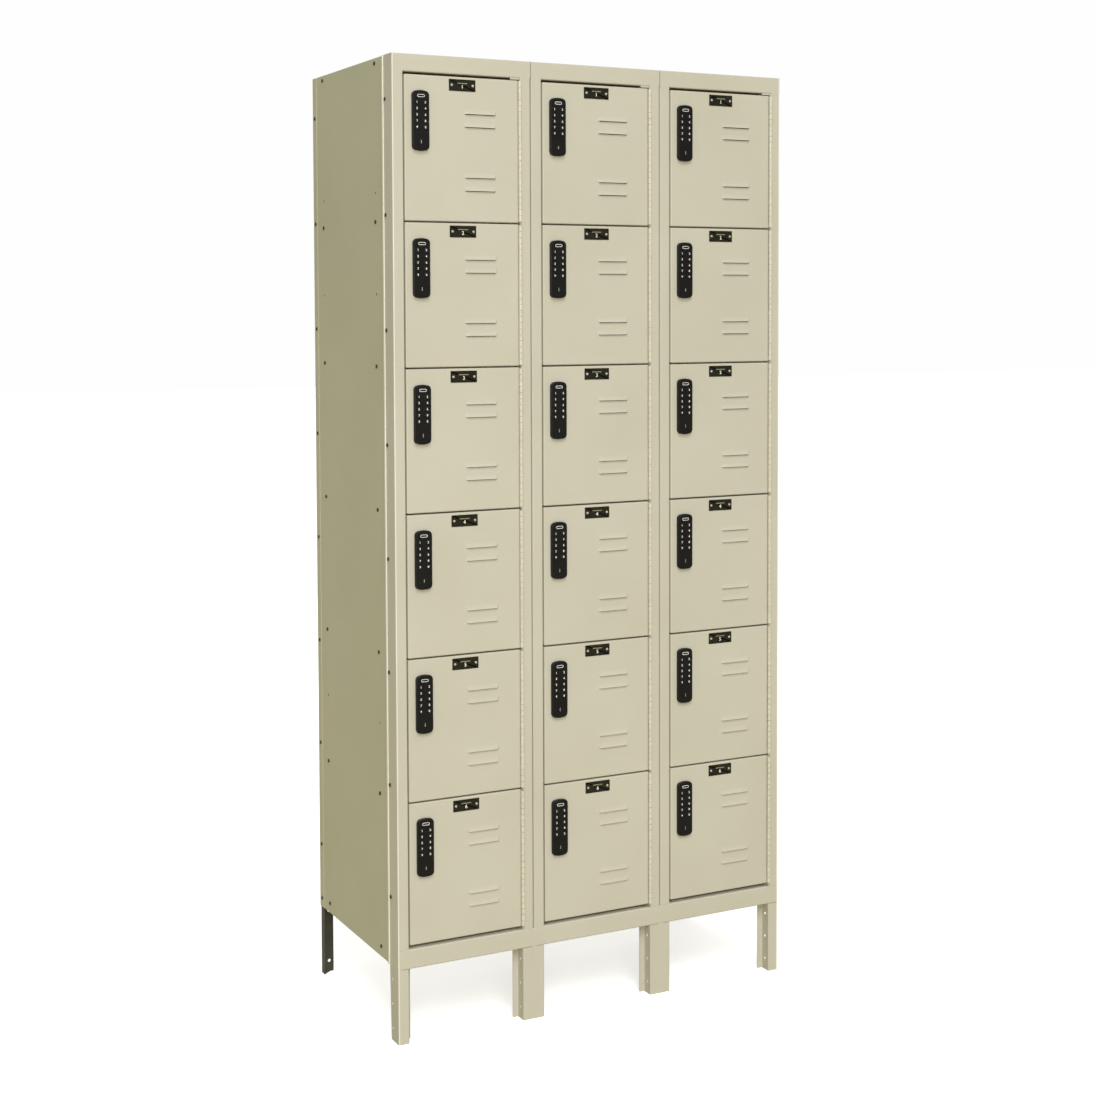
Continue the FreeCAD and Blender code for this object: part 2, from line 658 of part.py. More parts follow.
def bolt_box(grow, extra):
    """The lock's sliding bolt, or with grow the way that it runs in."""
    z = bolt_height()
    return box(CASE_LEFT - extra, BOLT_FRONT - grow, z - BOLT_HEIGHT / 2 - grow,
               CASE_LEFT + BOLT_LENGTH + grow, BOLT_FRONT + BOLT_THICK + grow, z + BOLT_HEIGHT / 2 + grow)


def latch():
    """The sliding bolt, bevelled on the side of its nose that meets the strike."""
    z0, z1 = bolt_height() - BOLT_HEIGHT / 2 - 1, bolt_height() + BOLT_HEIGHT / 2 + 1
    along, across = BOLT_NOSE
    wedge = prism([(CASE_LEFT - 1, BOLT_FRONT - 1, z0), (CASE_LEFT + along, BOLT_FRONT - 1, z0),
                   (CASE_LEFT + along, BOLT_FRONT, z0), (CASE_LEFT, BOLT_FRONT + across, z0),
                   (CASE_LEFT - 1, BOLT_FRONT + across, z0)], (0, 0, z1 - z0))
    return drilled(bolt_box(0.0, 0.0), [wedge])


def lock_case():
    """Hollow rear case behind the door sheet, with the guide that the bolt runs in."""
    z = bolt_height()
    x0, x1 = CASE_LEFT, LOCK_LEFT + LOCK_WIDTH + CASE_SIDE
    z0, z1 = z - CASE_HEIGHT / 2, z + CASE_HEIGHT / 2
    w, g = CASE_WALL, BOLT_GUIDE
    solid = box(x0, DOOR_BACK_OF_SHEET, z0, x1, CASE_REAR, z1)
    hollow = box(x0 + w, DOOR_BACK_OF_SHEET - 1, z0 + w, x1 - w, CASE_REAR - w, z1 - w)
    guide = box(x0, BOLT_FRONT - g, z - BOLT_HEIGHT / 2 - g,
                CASE_LEFT + BOLT_LENGTH + g, CASE_REAR, z + BOLT_HEIGHT / 2 + g)
    return drilled(joined([solid.cut(hollow), guide]), [bolt_box(BOLT_CLEARANCE, 1)])


def door(separate_keys):
    pieces = [door_pan(), leaf(False, hinge_base(1))]
    pieces += number_plate()
    pieces += [lock_housing(separate_keys), lock_case()]
    return pieces


# ---------------------------------------------------------------- fasteners
def bolt_and_nut(x_head, x_nut, y, z):
    """A low-headed bolt with its head at x_head and a hexagon nut against x_nut."""
    way = 1 if x_nut > x_head else -1
    grip = abs(x_nut - x_head)
    shank = rod(SHANK_RADIUS, grip + NUT_HEIGHT + THREAD_PROUD, (x_head, y, z), (way, 0, 0))
    head = rod(HEAD_RADIUS, HEAD_HEIGHT, (x_head, y, z), (-way, 0, 0))
    rim = [e for e in head.Edges if abs(e.BoundBox.XMin - e.BoundBox.XMax) < 0.01
           and abs(e.BoundBox.XMin - x_head) > 0.1]
    head = head.makeFillet(HEAD_HEIGHT * 0.6, rim)
    reach = NUT_ACROSS / math.sqrt(3)
    corners = [(x_nut, y + reach * math.cos(math.radians(60 * n)), z + reach * math.sin(math.radians(60 * n)))
               for n in range(6)]
    nut = prism(corners, (way * NUT_HEIGHT, 0, 0))
    nut = drilled(nut, [rod(SHANK_RADIUS, grip + 2 * NUT_HEIGHT, (x_head, y, z), (way, 0, 0))])
    return [joined([shank, head]), nut]


def wall_bolts(index):
    """Every bolt through one side panel or partition."""
    x0, x1 = panel_faces(index)
    left_flange = SEAM_SETBACK + FRAME_SHEET
    if index == 0:
        front_grip = (SEAM_SETBACK, x1)
        pan_grip = (x0, x1 + PANEL_SHEET)
        rear_grip = (x0 - PANEL_SHEET, x1)
        leg_grip = (x0 - PANEL_SHEET, x1 + LEG_SHEET)
    elif index == COLUMNS:
        front_grip = (WIDTH - SEAM_SETBACK, x0)
        pan_grip = (x1, x0 - PANEL_SHEET)
        rear_grip = (x1 + PANEL_SHEET, x0)
        leg_grip = (x1 + PANEL_SHEET, x0 - LEG_SHEET)
    else:
        middle = index * COLUMN_PITCH
        front_grip = (middle - left_flange, middle + left_flange)
        pan_grip = (x0 - PANEL_SHEET, x1 + PANEL_SHEET)
        rear_grip = pan_grip
        leg_grip = None
    groups = [(front_places(), front_grip), (all_pan_places(), pan_grip), (rear_places(), rear_grip)]
    if leg_grip:
        groups.append((leg_places(), leg_grip))
    pieces = []
    for places, (x_head, x_nut) in groups:
        for y, z in places:
            pieces += bolt_and_nut(x_head, x_nut, y, z)
    return pieces


def fasteners():
    return [piece for index in range(COLUMNS + 1) for piece in wall_bolts(index)]


# ---------------------------------------------------------------- write the parts
os.makedirs("parts", exist_ok=True)

save("side_panel_left", [wall(0)])
save("side_panel_right", [wall(COLUMNS)])
save("partition_panels", [wall(index) for index in range(1, COLUMNS)])
save("back_panels", [back_panel(column) for column in range(COLUMNS)])
save("top_panels", top_panels())
save("bottom_panels", bottom_panels())
save("shelves", shelves())
save("frame_uprights", frame_uprights())
save("frame_rails", frame_rails())
save("frame_cross_members", frame_cross_members())
save("rear_legs", rear_legs())
save("hinge_fixed_leaves", hinge_fixed_leaves())
save("hinge_pins", hinge_pins())
save("fasteners", fasteners())

KEYED_DOOR = door(True)
PLAIN_DOOR = door(False)
LATCH = latch()
for column, row in each_compartment():
    place = (column * COLUMN_PITCH, 0, (1 - row) * TIER_PITCH)
    label = "c%d_t%d" % (column + 1, row)
    pieces = KEYED_DOOR if (column, row) == (0, 1) else PLAIN_DOOR
    save("door_" + label, [moved(piece, *place) for piece in pieces])
    save("lock_bolt_" + label, [moved(LATCH, *place)])

for number, (x, z) in enumerate(key_centres(), start=1):
    save("keypad_key_%02d" % number, [key_piece(x, z)])

print("overall", WIDTH, DEPTH - FRONT_MOST, HEIGHT)
print("hinge axis of the first column", HINGE_X - WIDTH / 2, HINGE_Y - Y_MIDDLE)
print("bolt tip thrown", CASE_LEFT - BOLT_TRAVEL, "strike ends", LOCK_SIDE_EDGE + STRIKE_WIDTH)
print("door height", DOOR_HEIGHT, "tier pitch", TIER_PITCH, "knuckles", KNUCKLES)
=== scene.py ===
# %% [markdown]
# # A steel box locker, finished for the camera
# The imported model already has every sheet, hinge and bolt at its true size. What it lacks is finish:
# bends that catch the light, pressed louvres, moulded keypads and enamel that looks sprayed on.
# So most cells below model one real piece again with Blender's own tools, and let it ride on the same
# body as the plain piece that it stands for.

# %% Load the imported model
import json
import math

import bmesh
import bpy
from mathutils import Matrix, Vector


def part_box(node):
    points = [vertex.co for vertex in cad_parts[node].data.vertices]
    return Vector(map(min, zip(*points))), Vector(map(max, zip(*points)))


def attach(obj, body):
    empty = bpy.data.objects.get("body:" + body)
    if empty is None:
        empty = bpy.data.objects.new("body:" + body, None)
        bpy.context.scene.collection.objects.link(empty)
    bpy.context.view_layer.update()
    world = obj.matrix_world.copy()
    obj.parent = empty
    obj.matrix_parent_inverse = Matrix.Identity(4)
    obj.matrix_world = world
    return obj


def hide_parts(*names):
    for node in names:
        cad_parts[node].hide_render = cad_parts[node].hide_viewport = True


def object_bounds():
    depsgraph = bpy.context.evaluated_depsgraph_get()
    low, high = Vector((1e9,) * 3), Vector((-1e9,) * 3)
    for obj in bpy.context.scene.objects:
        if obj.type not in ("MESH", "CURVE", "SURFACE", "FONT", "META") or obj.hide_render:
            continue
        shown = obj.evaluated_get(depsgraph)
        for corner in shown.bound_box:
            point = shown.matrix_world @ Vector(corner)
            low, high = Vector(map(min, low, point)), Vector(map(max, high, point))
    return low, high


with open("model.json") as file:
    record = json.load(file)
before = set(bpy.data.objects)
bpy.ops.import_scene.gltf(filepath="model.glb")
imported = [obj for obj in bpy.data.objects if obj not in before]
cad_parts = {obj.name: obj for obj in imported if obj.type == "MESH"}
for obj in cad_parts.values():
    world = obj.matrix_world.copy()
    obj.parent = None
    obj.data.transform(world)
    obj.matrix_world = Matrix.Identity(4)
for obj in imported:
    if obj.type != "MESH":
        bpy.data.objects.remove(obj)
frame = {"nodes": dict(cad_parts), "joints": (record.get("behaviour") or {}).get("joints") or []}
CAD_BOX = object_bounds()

# %% [markdown]
# ## Measuring the locker
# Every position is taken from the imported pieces. Sizes are easier to think about in millimetres from
# the first column's left front foot, so at() turns those into places in the model.

# %% Places and sizes
MM = 0.001
COLUMNS, TIERS = 3, 6
frame_low, frame_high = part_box("frame_uprights")
door_low, door_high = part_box("door_c1_t1")
COLUMN_PITCH = (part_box("door_c2_t1")[0].x - door_low.x) / MM
TIER_PITCH = (door_low.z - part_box("door_c1_t2")[0].z) / MM
SEAM_SETBACK = 0.8
ORIGIN = Vector((frame_low.x - SEAM_SETBACK * MM, frame_low.y, 0.0))
HEIGHT = frame_high.z / MM


def at(x, y, z):
    """The place in the model of a point in millimetres from the first column's left front foot."""
    return ORIGIN + Vector((x, y, z)) * MM


def in_mm(point):
    """The other way round: a model place in millimetres from that foot."""
    return (Vector(point) - ORIGIN) / MM


def labels():
    """Every compartment with its label and how far it stands from the first one, in millimetres."""
    for column in range(COLUMNS):
        for tier in range(TIERS):
            yield "c%d_t%d" % (column + 1, tier + 1), column * COLUMN_PITCH, -tier * TIER_PITCH


print("column pitch %.1f mm, tier pitch %.1f mm" % (COLUMN_PITCH, TIER_PITCH))

# %% [markdown]
# ## A few bench tools
# An operator works on whatever is selected, and loading the model leaves its pieces selected. Each
# helper therefore clears the selection first and picks what it needs by place or direction.

# %% Selecting and starting pieces
def select_only(*pieces):
    """Nothing else is selected, and the first piece is the active one."""
    if bpy.context.object and bpy.context.object.mode != "OBJECT":
        bpy.ops.object.mode_set(mode="OBJECT")
    bpy.ops.object.select_all(action="DESELECT")
    for piece in pieces:
        piece.select_set(True)
    bpy.context.view_layer.objects.active = pieces[0] if pieces else None


def settle():
    """Put the active object's place, turn and size into its mesh."""
    bpy.ops.object.transform_apply(location=True, rotation=True, scale=True)


def named(name):
    """Name the primitive that was just added, with its place in its mesh."""
    piece = bpy.context.object
    piece.name = name
    piece.data.name = name
    settle()
    return piece


def block(name, low, high):
    """A cube primitive stretched between two corners given in millimetres."""
    select_only()
    a, b = at(*low), at(*high)
    bpy.ops.mesh.primitive_cube_add(size=1, location=(a + b) / 2, scale=b - a)
    return named(name)


def round_bar(name, radius, start, length, axis="Z", sides=24, ends="NGON"):
    """A cylinder primitive from a point in millimetres along an axis."""
    select_only()
    way = {"X": Vector((1, 0, 0)), "Y": Vector((0, 1, 0)), "Z": Vector((0, 0, 1))}[axis]
    turn = {"X": (0, math.pi / 2, 0), "Y": (-math.pi / 2, 0, 0), "Z": (0, 0, 0)}[axis]
    bpy.ops.mesh.primitive_cylinder_add(vertices=sides, radius=radius * MM, depth=abs(length) * MM,
                                        end_fill_type=ends, rotation=turn,
                                        location=at(*start) + way * length * MM / 2)
    return named(name)


# %% Choosing faces and edges
def middle(part):
    """Middle of a face or an edge, in millimetres."""
    return in_mm(sum((v.co for v in part.verts), Vector()) / len(part.verts))


def near(a, b):
    return abs(a - b) < 0.02


def runs(edge, axis):
    """True if the edge runs along that axis."""
    way = (edge.verts[1].co - edge.verts[0].co).normalized()
    return abs(way["XYZ".index(axis)]) > 0.99


def rim_of(edge, direction):
    """True if the edge is where a face that looks that way meets a side of the piece."""
    towards = Vector(direction)
    looks = [face.normal.dot(towards) for face in edge.link_faces]
    return len(looks) == 2 and max(looks) > 0.95 and min(looks) < 0.3


def choose(piece, kind, test):
    """Edit mode, with only the vertices, edges or faces chosen that pass the test."""
    select_only(piece)
    bpy.ops.object.mode_set(mode="EDIT")
    bpy.ops.mesh.select_mode(type=kind)
    bpy.ops.mesh.select_all(action="DESELECT")
    mesh = bmesh.from_edit_mesh(piece.data)
    mesh.normal_update()
    parts = {"VERT": mesh.verts, "EDGE": mesh.edges, "FACE": mesh.faces}[kind]
    chosen = [part for part in parts if test(part)]
    for part in chosen:
        part.select_set(True)
    mesh.select_flush_mode()
    bmesh.update_edit_mesh(piece.data)
    return len(chosen)


def done():
    bpy.ops.object.mode_set(mode="OBJECT")


# %% Shaping
def round_edges(piece, test, radius, segments=3):
    """Bevel the edges that pass the test."""
    if choose(piece, "EDGE", test):
        bpy.ops.mesh.bevel(offset=radius * MM, segments=segments, affect="EDGES", profile=0.5)
    done()


def move(piece, kind, test, x=0.0, y=0.0, z=0.0):
    """Slide the chosen parts of a piece, in millimetres."""
    if choose(piece, kind, test):
        bpy.ops.transform.translate(value=Vector((x, y, z)) * MM)
    done()


def use(piece, kind, **settings):
    """Add a modifier and apply it at once."""
    select_only(piece)
    modifier = piece.modifiers.new(kind.title(), kind)
    for key, value in settings.items():
        setattr(modifier, key, value)
    bpy.ops.object.modifier_apply(modifier=modifier.name)


def combine(piece, tool, operation="DIFFERENCE"):
    """Cut with the tool, or weld it on, and throw the tool away."""
    use(piece, "BOOLEAN", object=tool, operation=operation, solver="EXACT")
    bpy.data.objects.remove(tool)


def join(pieces):
    """Several objects become the first one."""
    select_only(*pieces)
    bpy.ops.object.join()
    return bpy.context.object


def copy_of(piece, name, x=0.0, y=0.0, z=0.0):
    """Another object with its own mesh, moved by millimetres."""
    select_only(piece)
    bpy.ops.object.duplicate(linked=False)
    other = bpy.context.object
    other.name = name
    other.data.name = name
    other.data.transform(Matrix.Translation(Vector((x, y, z)) * MM))
    return other


def smooth(piece, degrees=30):
    """Bends shade smoothly and flats stay flat, because each normal leans to the larger face."""
    select_only(piece)
    bpy.ops.object.shade_smooth_by_angle(angle=math.radians(degrees))
    use(piece, "WEIGHTED_NORMAL", mode="FACE_AREA", weight=50, keep_sharp=True)


# %% [markdown]
# ## Shared finishes
# One effect, such as the pimpled skin of sprayed enamel, shows on many materials. It is built once as
# a node group with named inputs, and each material places it with its own values.

# %% Building node groups
def new_group(name, inputs, outputs):
    """A shader node group with these sockets, and its input and output nodes."""
    tree = bpy.data.node_groups.new(name, "ShaderNodeTree")
    for title, kind, default in inputs:
        socket = tree.interface.new_socket(name=title, in_out="INPUT", socket_type="NodeSocket" + kind)
        socket.default_value = default
    for title, kind in outputs:
        tree.interface.new_socket(name=title, in_out="OUTPUT", socket_type="NodeSocket" + kind)
    return tree, tree.nodes.new("NodeGroupInput"), tree.nodes.new("NodeGroupOutput")


def add(tree, kind, **settings):
    """A node with its settings and unlinked socket values."""
    node = tree.nodes.new("ShaderNode" + kind)
    for key, value in settings.items():
        if key in node.inputs.keys():
            node.inputs[key].default_value = value
        else:
            setattr(node, key, value)
    return node


def sums(tree, operation, first, second):
    """A maths node on two sockets or numbers."""
    node = add(tree, "Math", operation=operation)
    for socket, value in zip(node.inputs, (first, second)):
        if isinstance(value, (int, float)):
            socket.default_value = value
        else:
            tree.links.new(value, socket)
    return node.outputs[0]


def noise(tree, scale, detail=2.0, roughness=0.5, stretch=None):
    """Noise on the piece's own coordinates, stretched if asked."""
    place = add(tree, "TexCoord").outputs["Object"]
    if stretch:
        mapping = add(tree, "Mapping")
        mapping.inputs["Scale"].default_value = stretch
        tree.links.new(place, mapping.inputs["Vector"])
        place = mapping.outputs["Vector"]
    node = add(tree, "TexNoise", Detail=detail, Roughness=roughness)
    tree.links.new(place, node.inputs["Vector"])
    if isinstance(scale, (int, float)):
        node.inputs["Scale"].default_value = scale
    else:
        tree.links.new(scale, node.inputs["Scale"])
    return node.outputs[0]


def ramp(tree, value, low, high, to_low=0.0, to_high=1.0):
    """A value between two limits, spread over two others."""
    node = add(tree, "MapRange", clamp=True)
    node.inputs["From Min"].default_value = low
    node.inputs["From Max"].default_value = high
    node.inputs["To Min"].default_value = to_low
    node.inputs["To Max"].default_value = to_high
    tree.links.new(value, node.inputs["Value"])
    return node.outputs["Result"]


def mix(tree, factor, first, second):
    """Colour between two sockets."""
    node = add(tree, "Mix", data_type="RGBA")
    for name, value in (("Factor_Float", factor), ("A_Color", first), ("B_Color", second)):
        socket = next(s for s in node.inputs if s.identifier == name)
        if hasattr(value, "is_output"):
            tree.links.new(value, socket)
        else:
            socket.default_value = value
    return next(s for s in node.outputs if s.identifier == "Result_Color")


# %% The five effects
def spray_skin():
    """Sprayed enamel dries to fine low pimples over the slight waves of a thin sheet."""
    tree, given, result = new_group("spray skin", [("Pimple Size", "Float", 700.0), ("Wave", "Float", 0.5)],
                                    [("Height", "Float")])
    fine = noise(tree, given.outputs["Pimple Size"], 2.0)
    broad = sums(tree, "MULTIPLY", noise(tree, 5.0, 1.0), given.outputs["Wave"])
    tree.links.new(sums(tree, "ADD", sums(tree, "MULTIPLY", fine, 0.06), broad), result.inputs["Height"])
    return tree


def colour_drift():
    """No batch of paint or plastic is one flat colour: it drifts a little over the surface."""
    tree, given, result = new_group(
        "colour drift", [("Colour", "Color", (1, 1, 1, 1)), ("Drifts To", "Color", (1, 1, 1, 1)),
                         ("Patch Size", "Float", 4.0)], [("Colour", "Color")])
    amount = ramp(tree, noise(tree, given.outputs["Patch Size"], 3.0), 0.35, 0.68)
    tree.links.new(mix(tree, amount, given.outputs["Colour"], given.outputs["Drifts To"]),
                   result.inputs["Colour"])
    return tree


def edge_wear_and_highlight():
    """Paint goes thin and bright on folds and rims, in broken stretches; on enamel the bright folds are also
    a painted highlight.
    """
    tree, given, result = new_group(
        "edge wear and painted highlight", [("Colour", "Color", (1, 1, 1, 1)), ("Worn Colour", "Color", (1, 1, 1, 1)),
                      ("Amount", "Float", 0.3)], [("Colour", "Color"), ("Worn", "Float")])
    rounded = add(tree, "Bevel", samples=4, Radius=1.2 * MM)
    agreement = add(tree, "VectorMath", operation="DOT_PRODUCT")
    tree.links.new(rounded.outputs["Normal"], agreement.inputs[0])
    tree.links.new(add(tree, "NewGeometry").outputs["Normal"], agreement.inputs[1])
    sharp = ramp(tree, agreement.outputs["Value"], 0.99, 0.86)
    broken = ramp(tree, noise(tree, 60.0, 4.0), 0.42, 0.6)
    worn_and_highlight = sums(tree, "MULTIPLY", sums(tree, "MULTIPLY", sharp, broken), given.outputs["Amount"])
    tree.links.new(mix(tree, worn_and_highlight, given.outputs["Colour"], given.outputs["Worn Colour"]),
                   result.inputs["Colour"])
    tree.links.new(worn_and_highlight, result.inputs["Worn"])
    return tree


def dust_film():
    """Dust settles on what looks up, in soft patches."""
    tree, given, result = new_group(
        "dust film", [("Colour", "Color", (1, 1, 1, 1)), ("Dust Colour", "Color", (1, 1, 1, 1)),
                      ("Amount", "Float", 0.3)], [("Colour", "Color"), ("Dusty", "Float")])
    normal = add(tree, "SeparateXYZ")
    tree.links.new(add(tree, "NewGeometry").outputs["Normal"], normal.inputs[0])
    up = ramp(tree, normal.outputs["Z"], 0.5, 1.0)
    patch = ramp(tree, noise(tree, 14.0, 4.0), 0.3, 0.75, 0.35, 1.0)
    dusty = sums(tree, "MULTIPLY", sums(tree, "MULTIPLY", up, patch), given.outputs["Amount"])
    tree.links.new(mix(tree, dusty, given.outputs["Colour"], given.outputs["Dust Colour"]),
                   result.inputs["Colour"])
    tree.links.new(dusty, result.inputs["Dusty"])
    return tree


def fine_scuffs():
    """Long faint rubs, finer than a hair, that change the gloss and not the colour."""
    tree, given, result = new_group(
        "fine scuffs", [("Gloss", "Float", 0.4), ("Amount", "Float", 0.1)], [("Roughness", "Float")])
    lines = ramp(tree, noise(tree, 18.0, 5.0, 0.6, (1.0, 1.0, 14.0)), 0.56, 0.66)
    cloud = ramp(tree, noise(tree, 7.0, 3.0), 0.3, 0.7, -0.5, 0.5)
    change = sums(tree, "MULTIPLY", sums(tree, "ADD", lines, cloud), given.outputs["Amount"])
    tree.links.new(sums(tree, "ADD", given.outputs["Gloss"], change), result.inputs["Roughness"])
    return tree


SPRAY_SKIN, COLOUR_DRIFT, EDGE_WEAR_AND_HIGHLIGHT = spray_skin(), colour_drift(), edge_wear_and_highlight()
DUST_FILM, FINE_SCUFFS = dust_film(), fine_scuffs()
print("shared effects:", [g.name for g in bpy.data.node_groups])

# %% [markdown]
# ## Materials
# Every finish on the locker is the same recipe with other numbers: a colour that drifts, worn edges that on
# enamel are also a painted highlight, a little dust, scuffs in the gloss and a low relief. What is the same
# all over a surface, such as how metallic it is, is set straight on the shader.

# %% One recipe for every finish
def srgb(red, green, blue):
    """A colour as a painter reads it, turned into light."""
    def light(c):
        c /= 255.0
        return c / 12.92 if c <= 0.04045 else ((c + 0.055) / 1.055) ** 2.4
    return (light(red), light(green), light(blue), 1.0)


def place_group(tree, group, **values):
    """A group in a material, with numbers or links for its inputs."""
    node = tree.nodes.new("ShaderNodeGroup")
    node.node_tree = group
    for key, value in values.items():
        socket = node.inputs[key.replace("_", " ")]
        if hasattr(value, "is_output"):
            tree.links.new(value, socket)
        else:
            socket.default_value = value
    return node


# The worn colour and the wear amount brighten folds and rims: real wear on the black lock parts, and on the
# painted steel also a painted highlight.
def finish(name, colour, drift, worn_and_highlight, gloss, metallic=0.0, patch=4.0, wear=0.3, dust=0.2, scuff=0.06,
           pimple=700.0, wave=0.4, relief=0.1, coat=0.0, specular=0.5):
    """A complete procedural material."""
    material = bpy.data.materials.new(name)
    material.use_nodes = True
    tree = material.node_tree
    shader = tree.nodes["Principled BSDF"]
    drifted = place_group(tree, COLOUR_DRIFT, Colour=colour, Drifts_To=drift, Patch_Size=patch)
    edged = place_group(tree, EDGE_WEAR_AND_HIGHLIGHT, Colour=drifted.outputs["Colour"], Worn_Colour=worn_and_highlight, Amount=wear)
    dusted = place_group(tree, DUST_FILM, Colour=edged.outputs["Colour"],
                         Dust_Colour=srgb(176, 170, 156), Amount=dust)
    rubbed = place_group(tree, FINE_SCUFFS, Gloss=gloss, Amount=scuff)
    skin = place_group(tree, SPRAY_SKIN, Pimple_Size=pimple, Wave=wave)
    bump = tree.nodes.new("ShaderNodeBump")
    bump.inputs["Strength"].default_value = relief
    bump.inputs["Distance"].default_value = 0.6 * MM
    tree.links.new(skin.outputs["Height"], bump.inputs["Height"])
    tree.links.new(dusted.outputs["Colour"], shader.inputs["Base Color"])
    tree.links.new(rubbed.outputs["Roughness"], shader.inputs["Roughness"])
    tree.links.new(bump.outputs["Normal"], shader.inputs["Normal"])
    shader.inputs["Metallic"].default_value = metallic
    shader.inputs["Coat Weight"].default_value = coat
    shader.inputs["Specular IOR Level"].default_value = specular
    return material


# %% The finishes of this locker
ENAMEL = finish("parchment enamel", srgb(210, 206, 190), srgb(205, 201, 184), srgb(222, 219, 205), 0.45)
# Darker, more olive copies of the parchment enamel are painted shade: one for the side, back and top panels,
# and one for the inside parts, which also gathers more dust.
SHADED_SHEET_ENAMEL = finish("parchment enamel on thin sheet", srgb(202, 200, 174), srgb(197, 195, 168),
                      srgb(214, 211, 190), 0.48, wave=0.9)
SHADED_INSIDE_ENAMEL = finish("parchment enamel inside", srgb(198, 194, 171), srgb(191, 187, 163),
                       srgb(212, 209, 190), 0.5, dust=0.4)
# A near-white enamel for the side hems and the two outer front folds: a painted highlight.
HIGHLIGHT_ENAMEL = finish("enamel painted bright as a highlight", srgb(246, 244, 232), srgb(240, 238, 224),
                     srgb(252, 251, 244), 0.35, wave=0.0)
HINGE_ENAMEL = finish("thin enamel over rolled steel", srgb(226, 222, 204), srgb(214, 210, 190),
                      srgb(246, 245, 240), 0.3, patch=60.0, wear=0.5, pimple=1500.0, wave=0.0, coat=0.3)
LEG_PAINT = finish("charcoal leg paint", srgb(86, 84, 78), srgb(70, 68, 62), srgb(120, 117, 110), 0.45)
BOLT_BLACK = finish("blackened bolt steel", srgb(74, 67, 50), srgb(52, 47, 36), srgb(150, 143, 120), 0.5,
                    metallic=0.3, patch=60.0, pimple=1800.0, wave=0.0)
ZINC = finish("zinc plate", srgb(214, 213, 206), srgb(190, 189, 180), srgb(240, 240, 236), 0.34,
              metallic=0.35, patch=60.0, pimple=1800.0, wave=0.0)
BOLT_STEEL = finish("plated latch steel", srgb(178, 178, 178), srgb(150, 150, 150), srgb(220, 220, 220),
                    0.3, metallic=0.95, patch=40.0, wave=0.0)
LOCK_BLACK = finish("satin black lock", srgb(17, 17, 18), srgb(12, 12, 13), srgb(46, 46, 46), 0.46,
                    patch=20.0, wear=0.3, dust=0.1, pimple=2200.0, wave=0.0, relief=0.2, specular=0.3)
KEY_BLACK = finish("rubbed key black", srgb(24, 24, 26), srgb(17, 17, 18), srgb(56, 56, 55), 0.38,
                   patch=40.0, wear=0.3, dust=0.1, pimple=2600.0, wave=0.0, relief=0.15, specular=0.3)
PLATE_BLACK = finish("olive black number plate", srgb(37, 36, 24), srgb(29, 28, 18), srgb(92, 90, 72), 0.36,
                     patch=25.0, wear=0.3, dust=0.15, pimple=2500.0, wave=0.0, specular=0.3)
RULE_OLIVE = finish("dull olive ink", srgb(150, 146, 112), srgb(136, 132, 98), srgb(170, 166, 132), 0.5,
                    patch=80.0, wear=0.0, dust=0.0, wave=0.0)
NUMERAL = finish("pale numeral ink", srgb(250, 250, 246), srgb(240, 240, 235), srgb(252, 252, 250), 0.5,
                 patch=80.0, wear=0.0, dust=0.0, wave=0.0)
print("materials:", len(bpy.data.materials))


# %% Dressing a piece
def dress(piece, material, body, slot, *stands_for, degrees=30):
    """Give a finished piece its material and its body, and hide the plain nodes that it stands for; the slot
    argument is not used.
    """
    smooth(piece, degrees)
    piece.data.materials.clear()
    piece.data.materials.append(material)
    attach(piece, body)
    if stands_for:
        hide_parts(*stands_for)


def repaint(node, material):
    """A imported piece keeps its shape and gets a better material."""
    ob = frame["nodes"][node]
    if not ob.material_slots:
        ob.data.materials.append(material)
    for place in ob.material_slots:
        place.material = material


# %% [markdown]
# ## The folded frame
# Each upright is one strip of sheet folded in a brake: an outer flange, the face, an inner web and a
# strike flange for the door. Folding it here in the same order, as a run of flat faces whose corners
# are then bevelled, gives bends that carry a highlight from floor to top.

# %% Folding sheet
def folded(name, along, points, low, high, radius, sheet, inwards):
    """Sheet folded through flat points and as long as low to high; inwards says which side gets the gauge."""
    def spot(point, level):
        return at(point[0], point[1], level) if along == "Z" else at(level, point[0], point[1])
    select_only()
    bpy.ops.mesh.primitive_plane_add(size=1)
    strip = named(name)
    corners = (spot(points[0], low), spot(points[1], low), spot(points[0], high), spot(points[1], high))
    for vertex, corner in zip(strip.data.vertices, corners):
        vertex.co = corner
    for start, end in zip(points[1:], points[2:]):
        here, there = spot(start, low), spot(end, low)
        last = (spot(start, low) + spot(start, high)) / 2
        choose(strip, "EDGE", lambda e: ((e.verts[0].co + e.verts[1].co) / 2 - last).length < 0.01 * MM)
        bpy.ops.mesh.extrude_region_move(TRANSFORM_OT_translate={"value": there - here})
        done()
    choose(strip, "FACE", lambda f: True)
    bpy.ops.mesh.normals_make_consistent(inside=False)
    done()
    round_edges(strip, lambda e: len(e.link_faces) == 2, radius, 4)
    facing = strip.data.polygons[0].normal
    use(strip, "SOLIDIFY", thickness=sheet * MM, offset=-1.0 if facing.dot(Vector(inwards)) < 0 else 1.0,
        use_even_offset=True)
    return strip


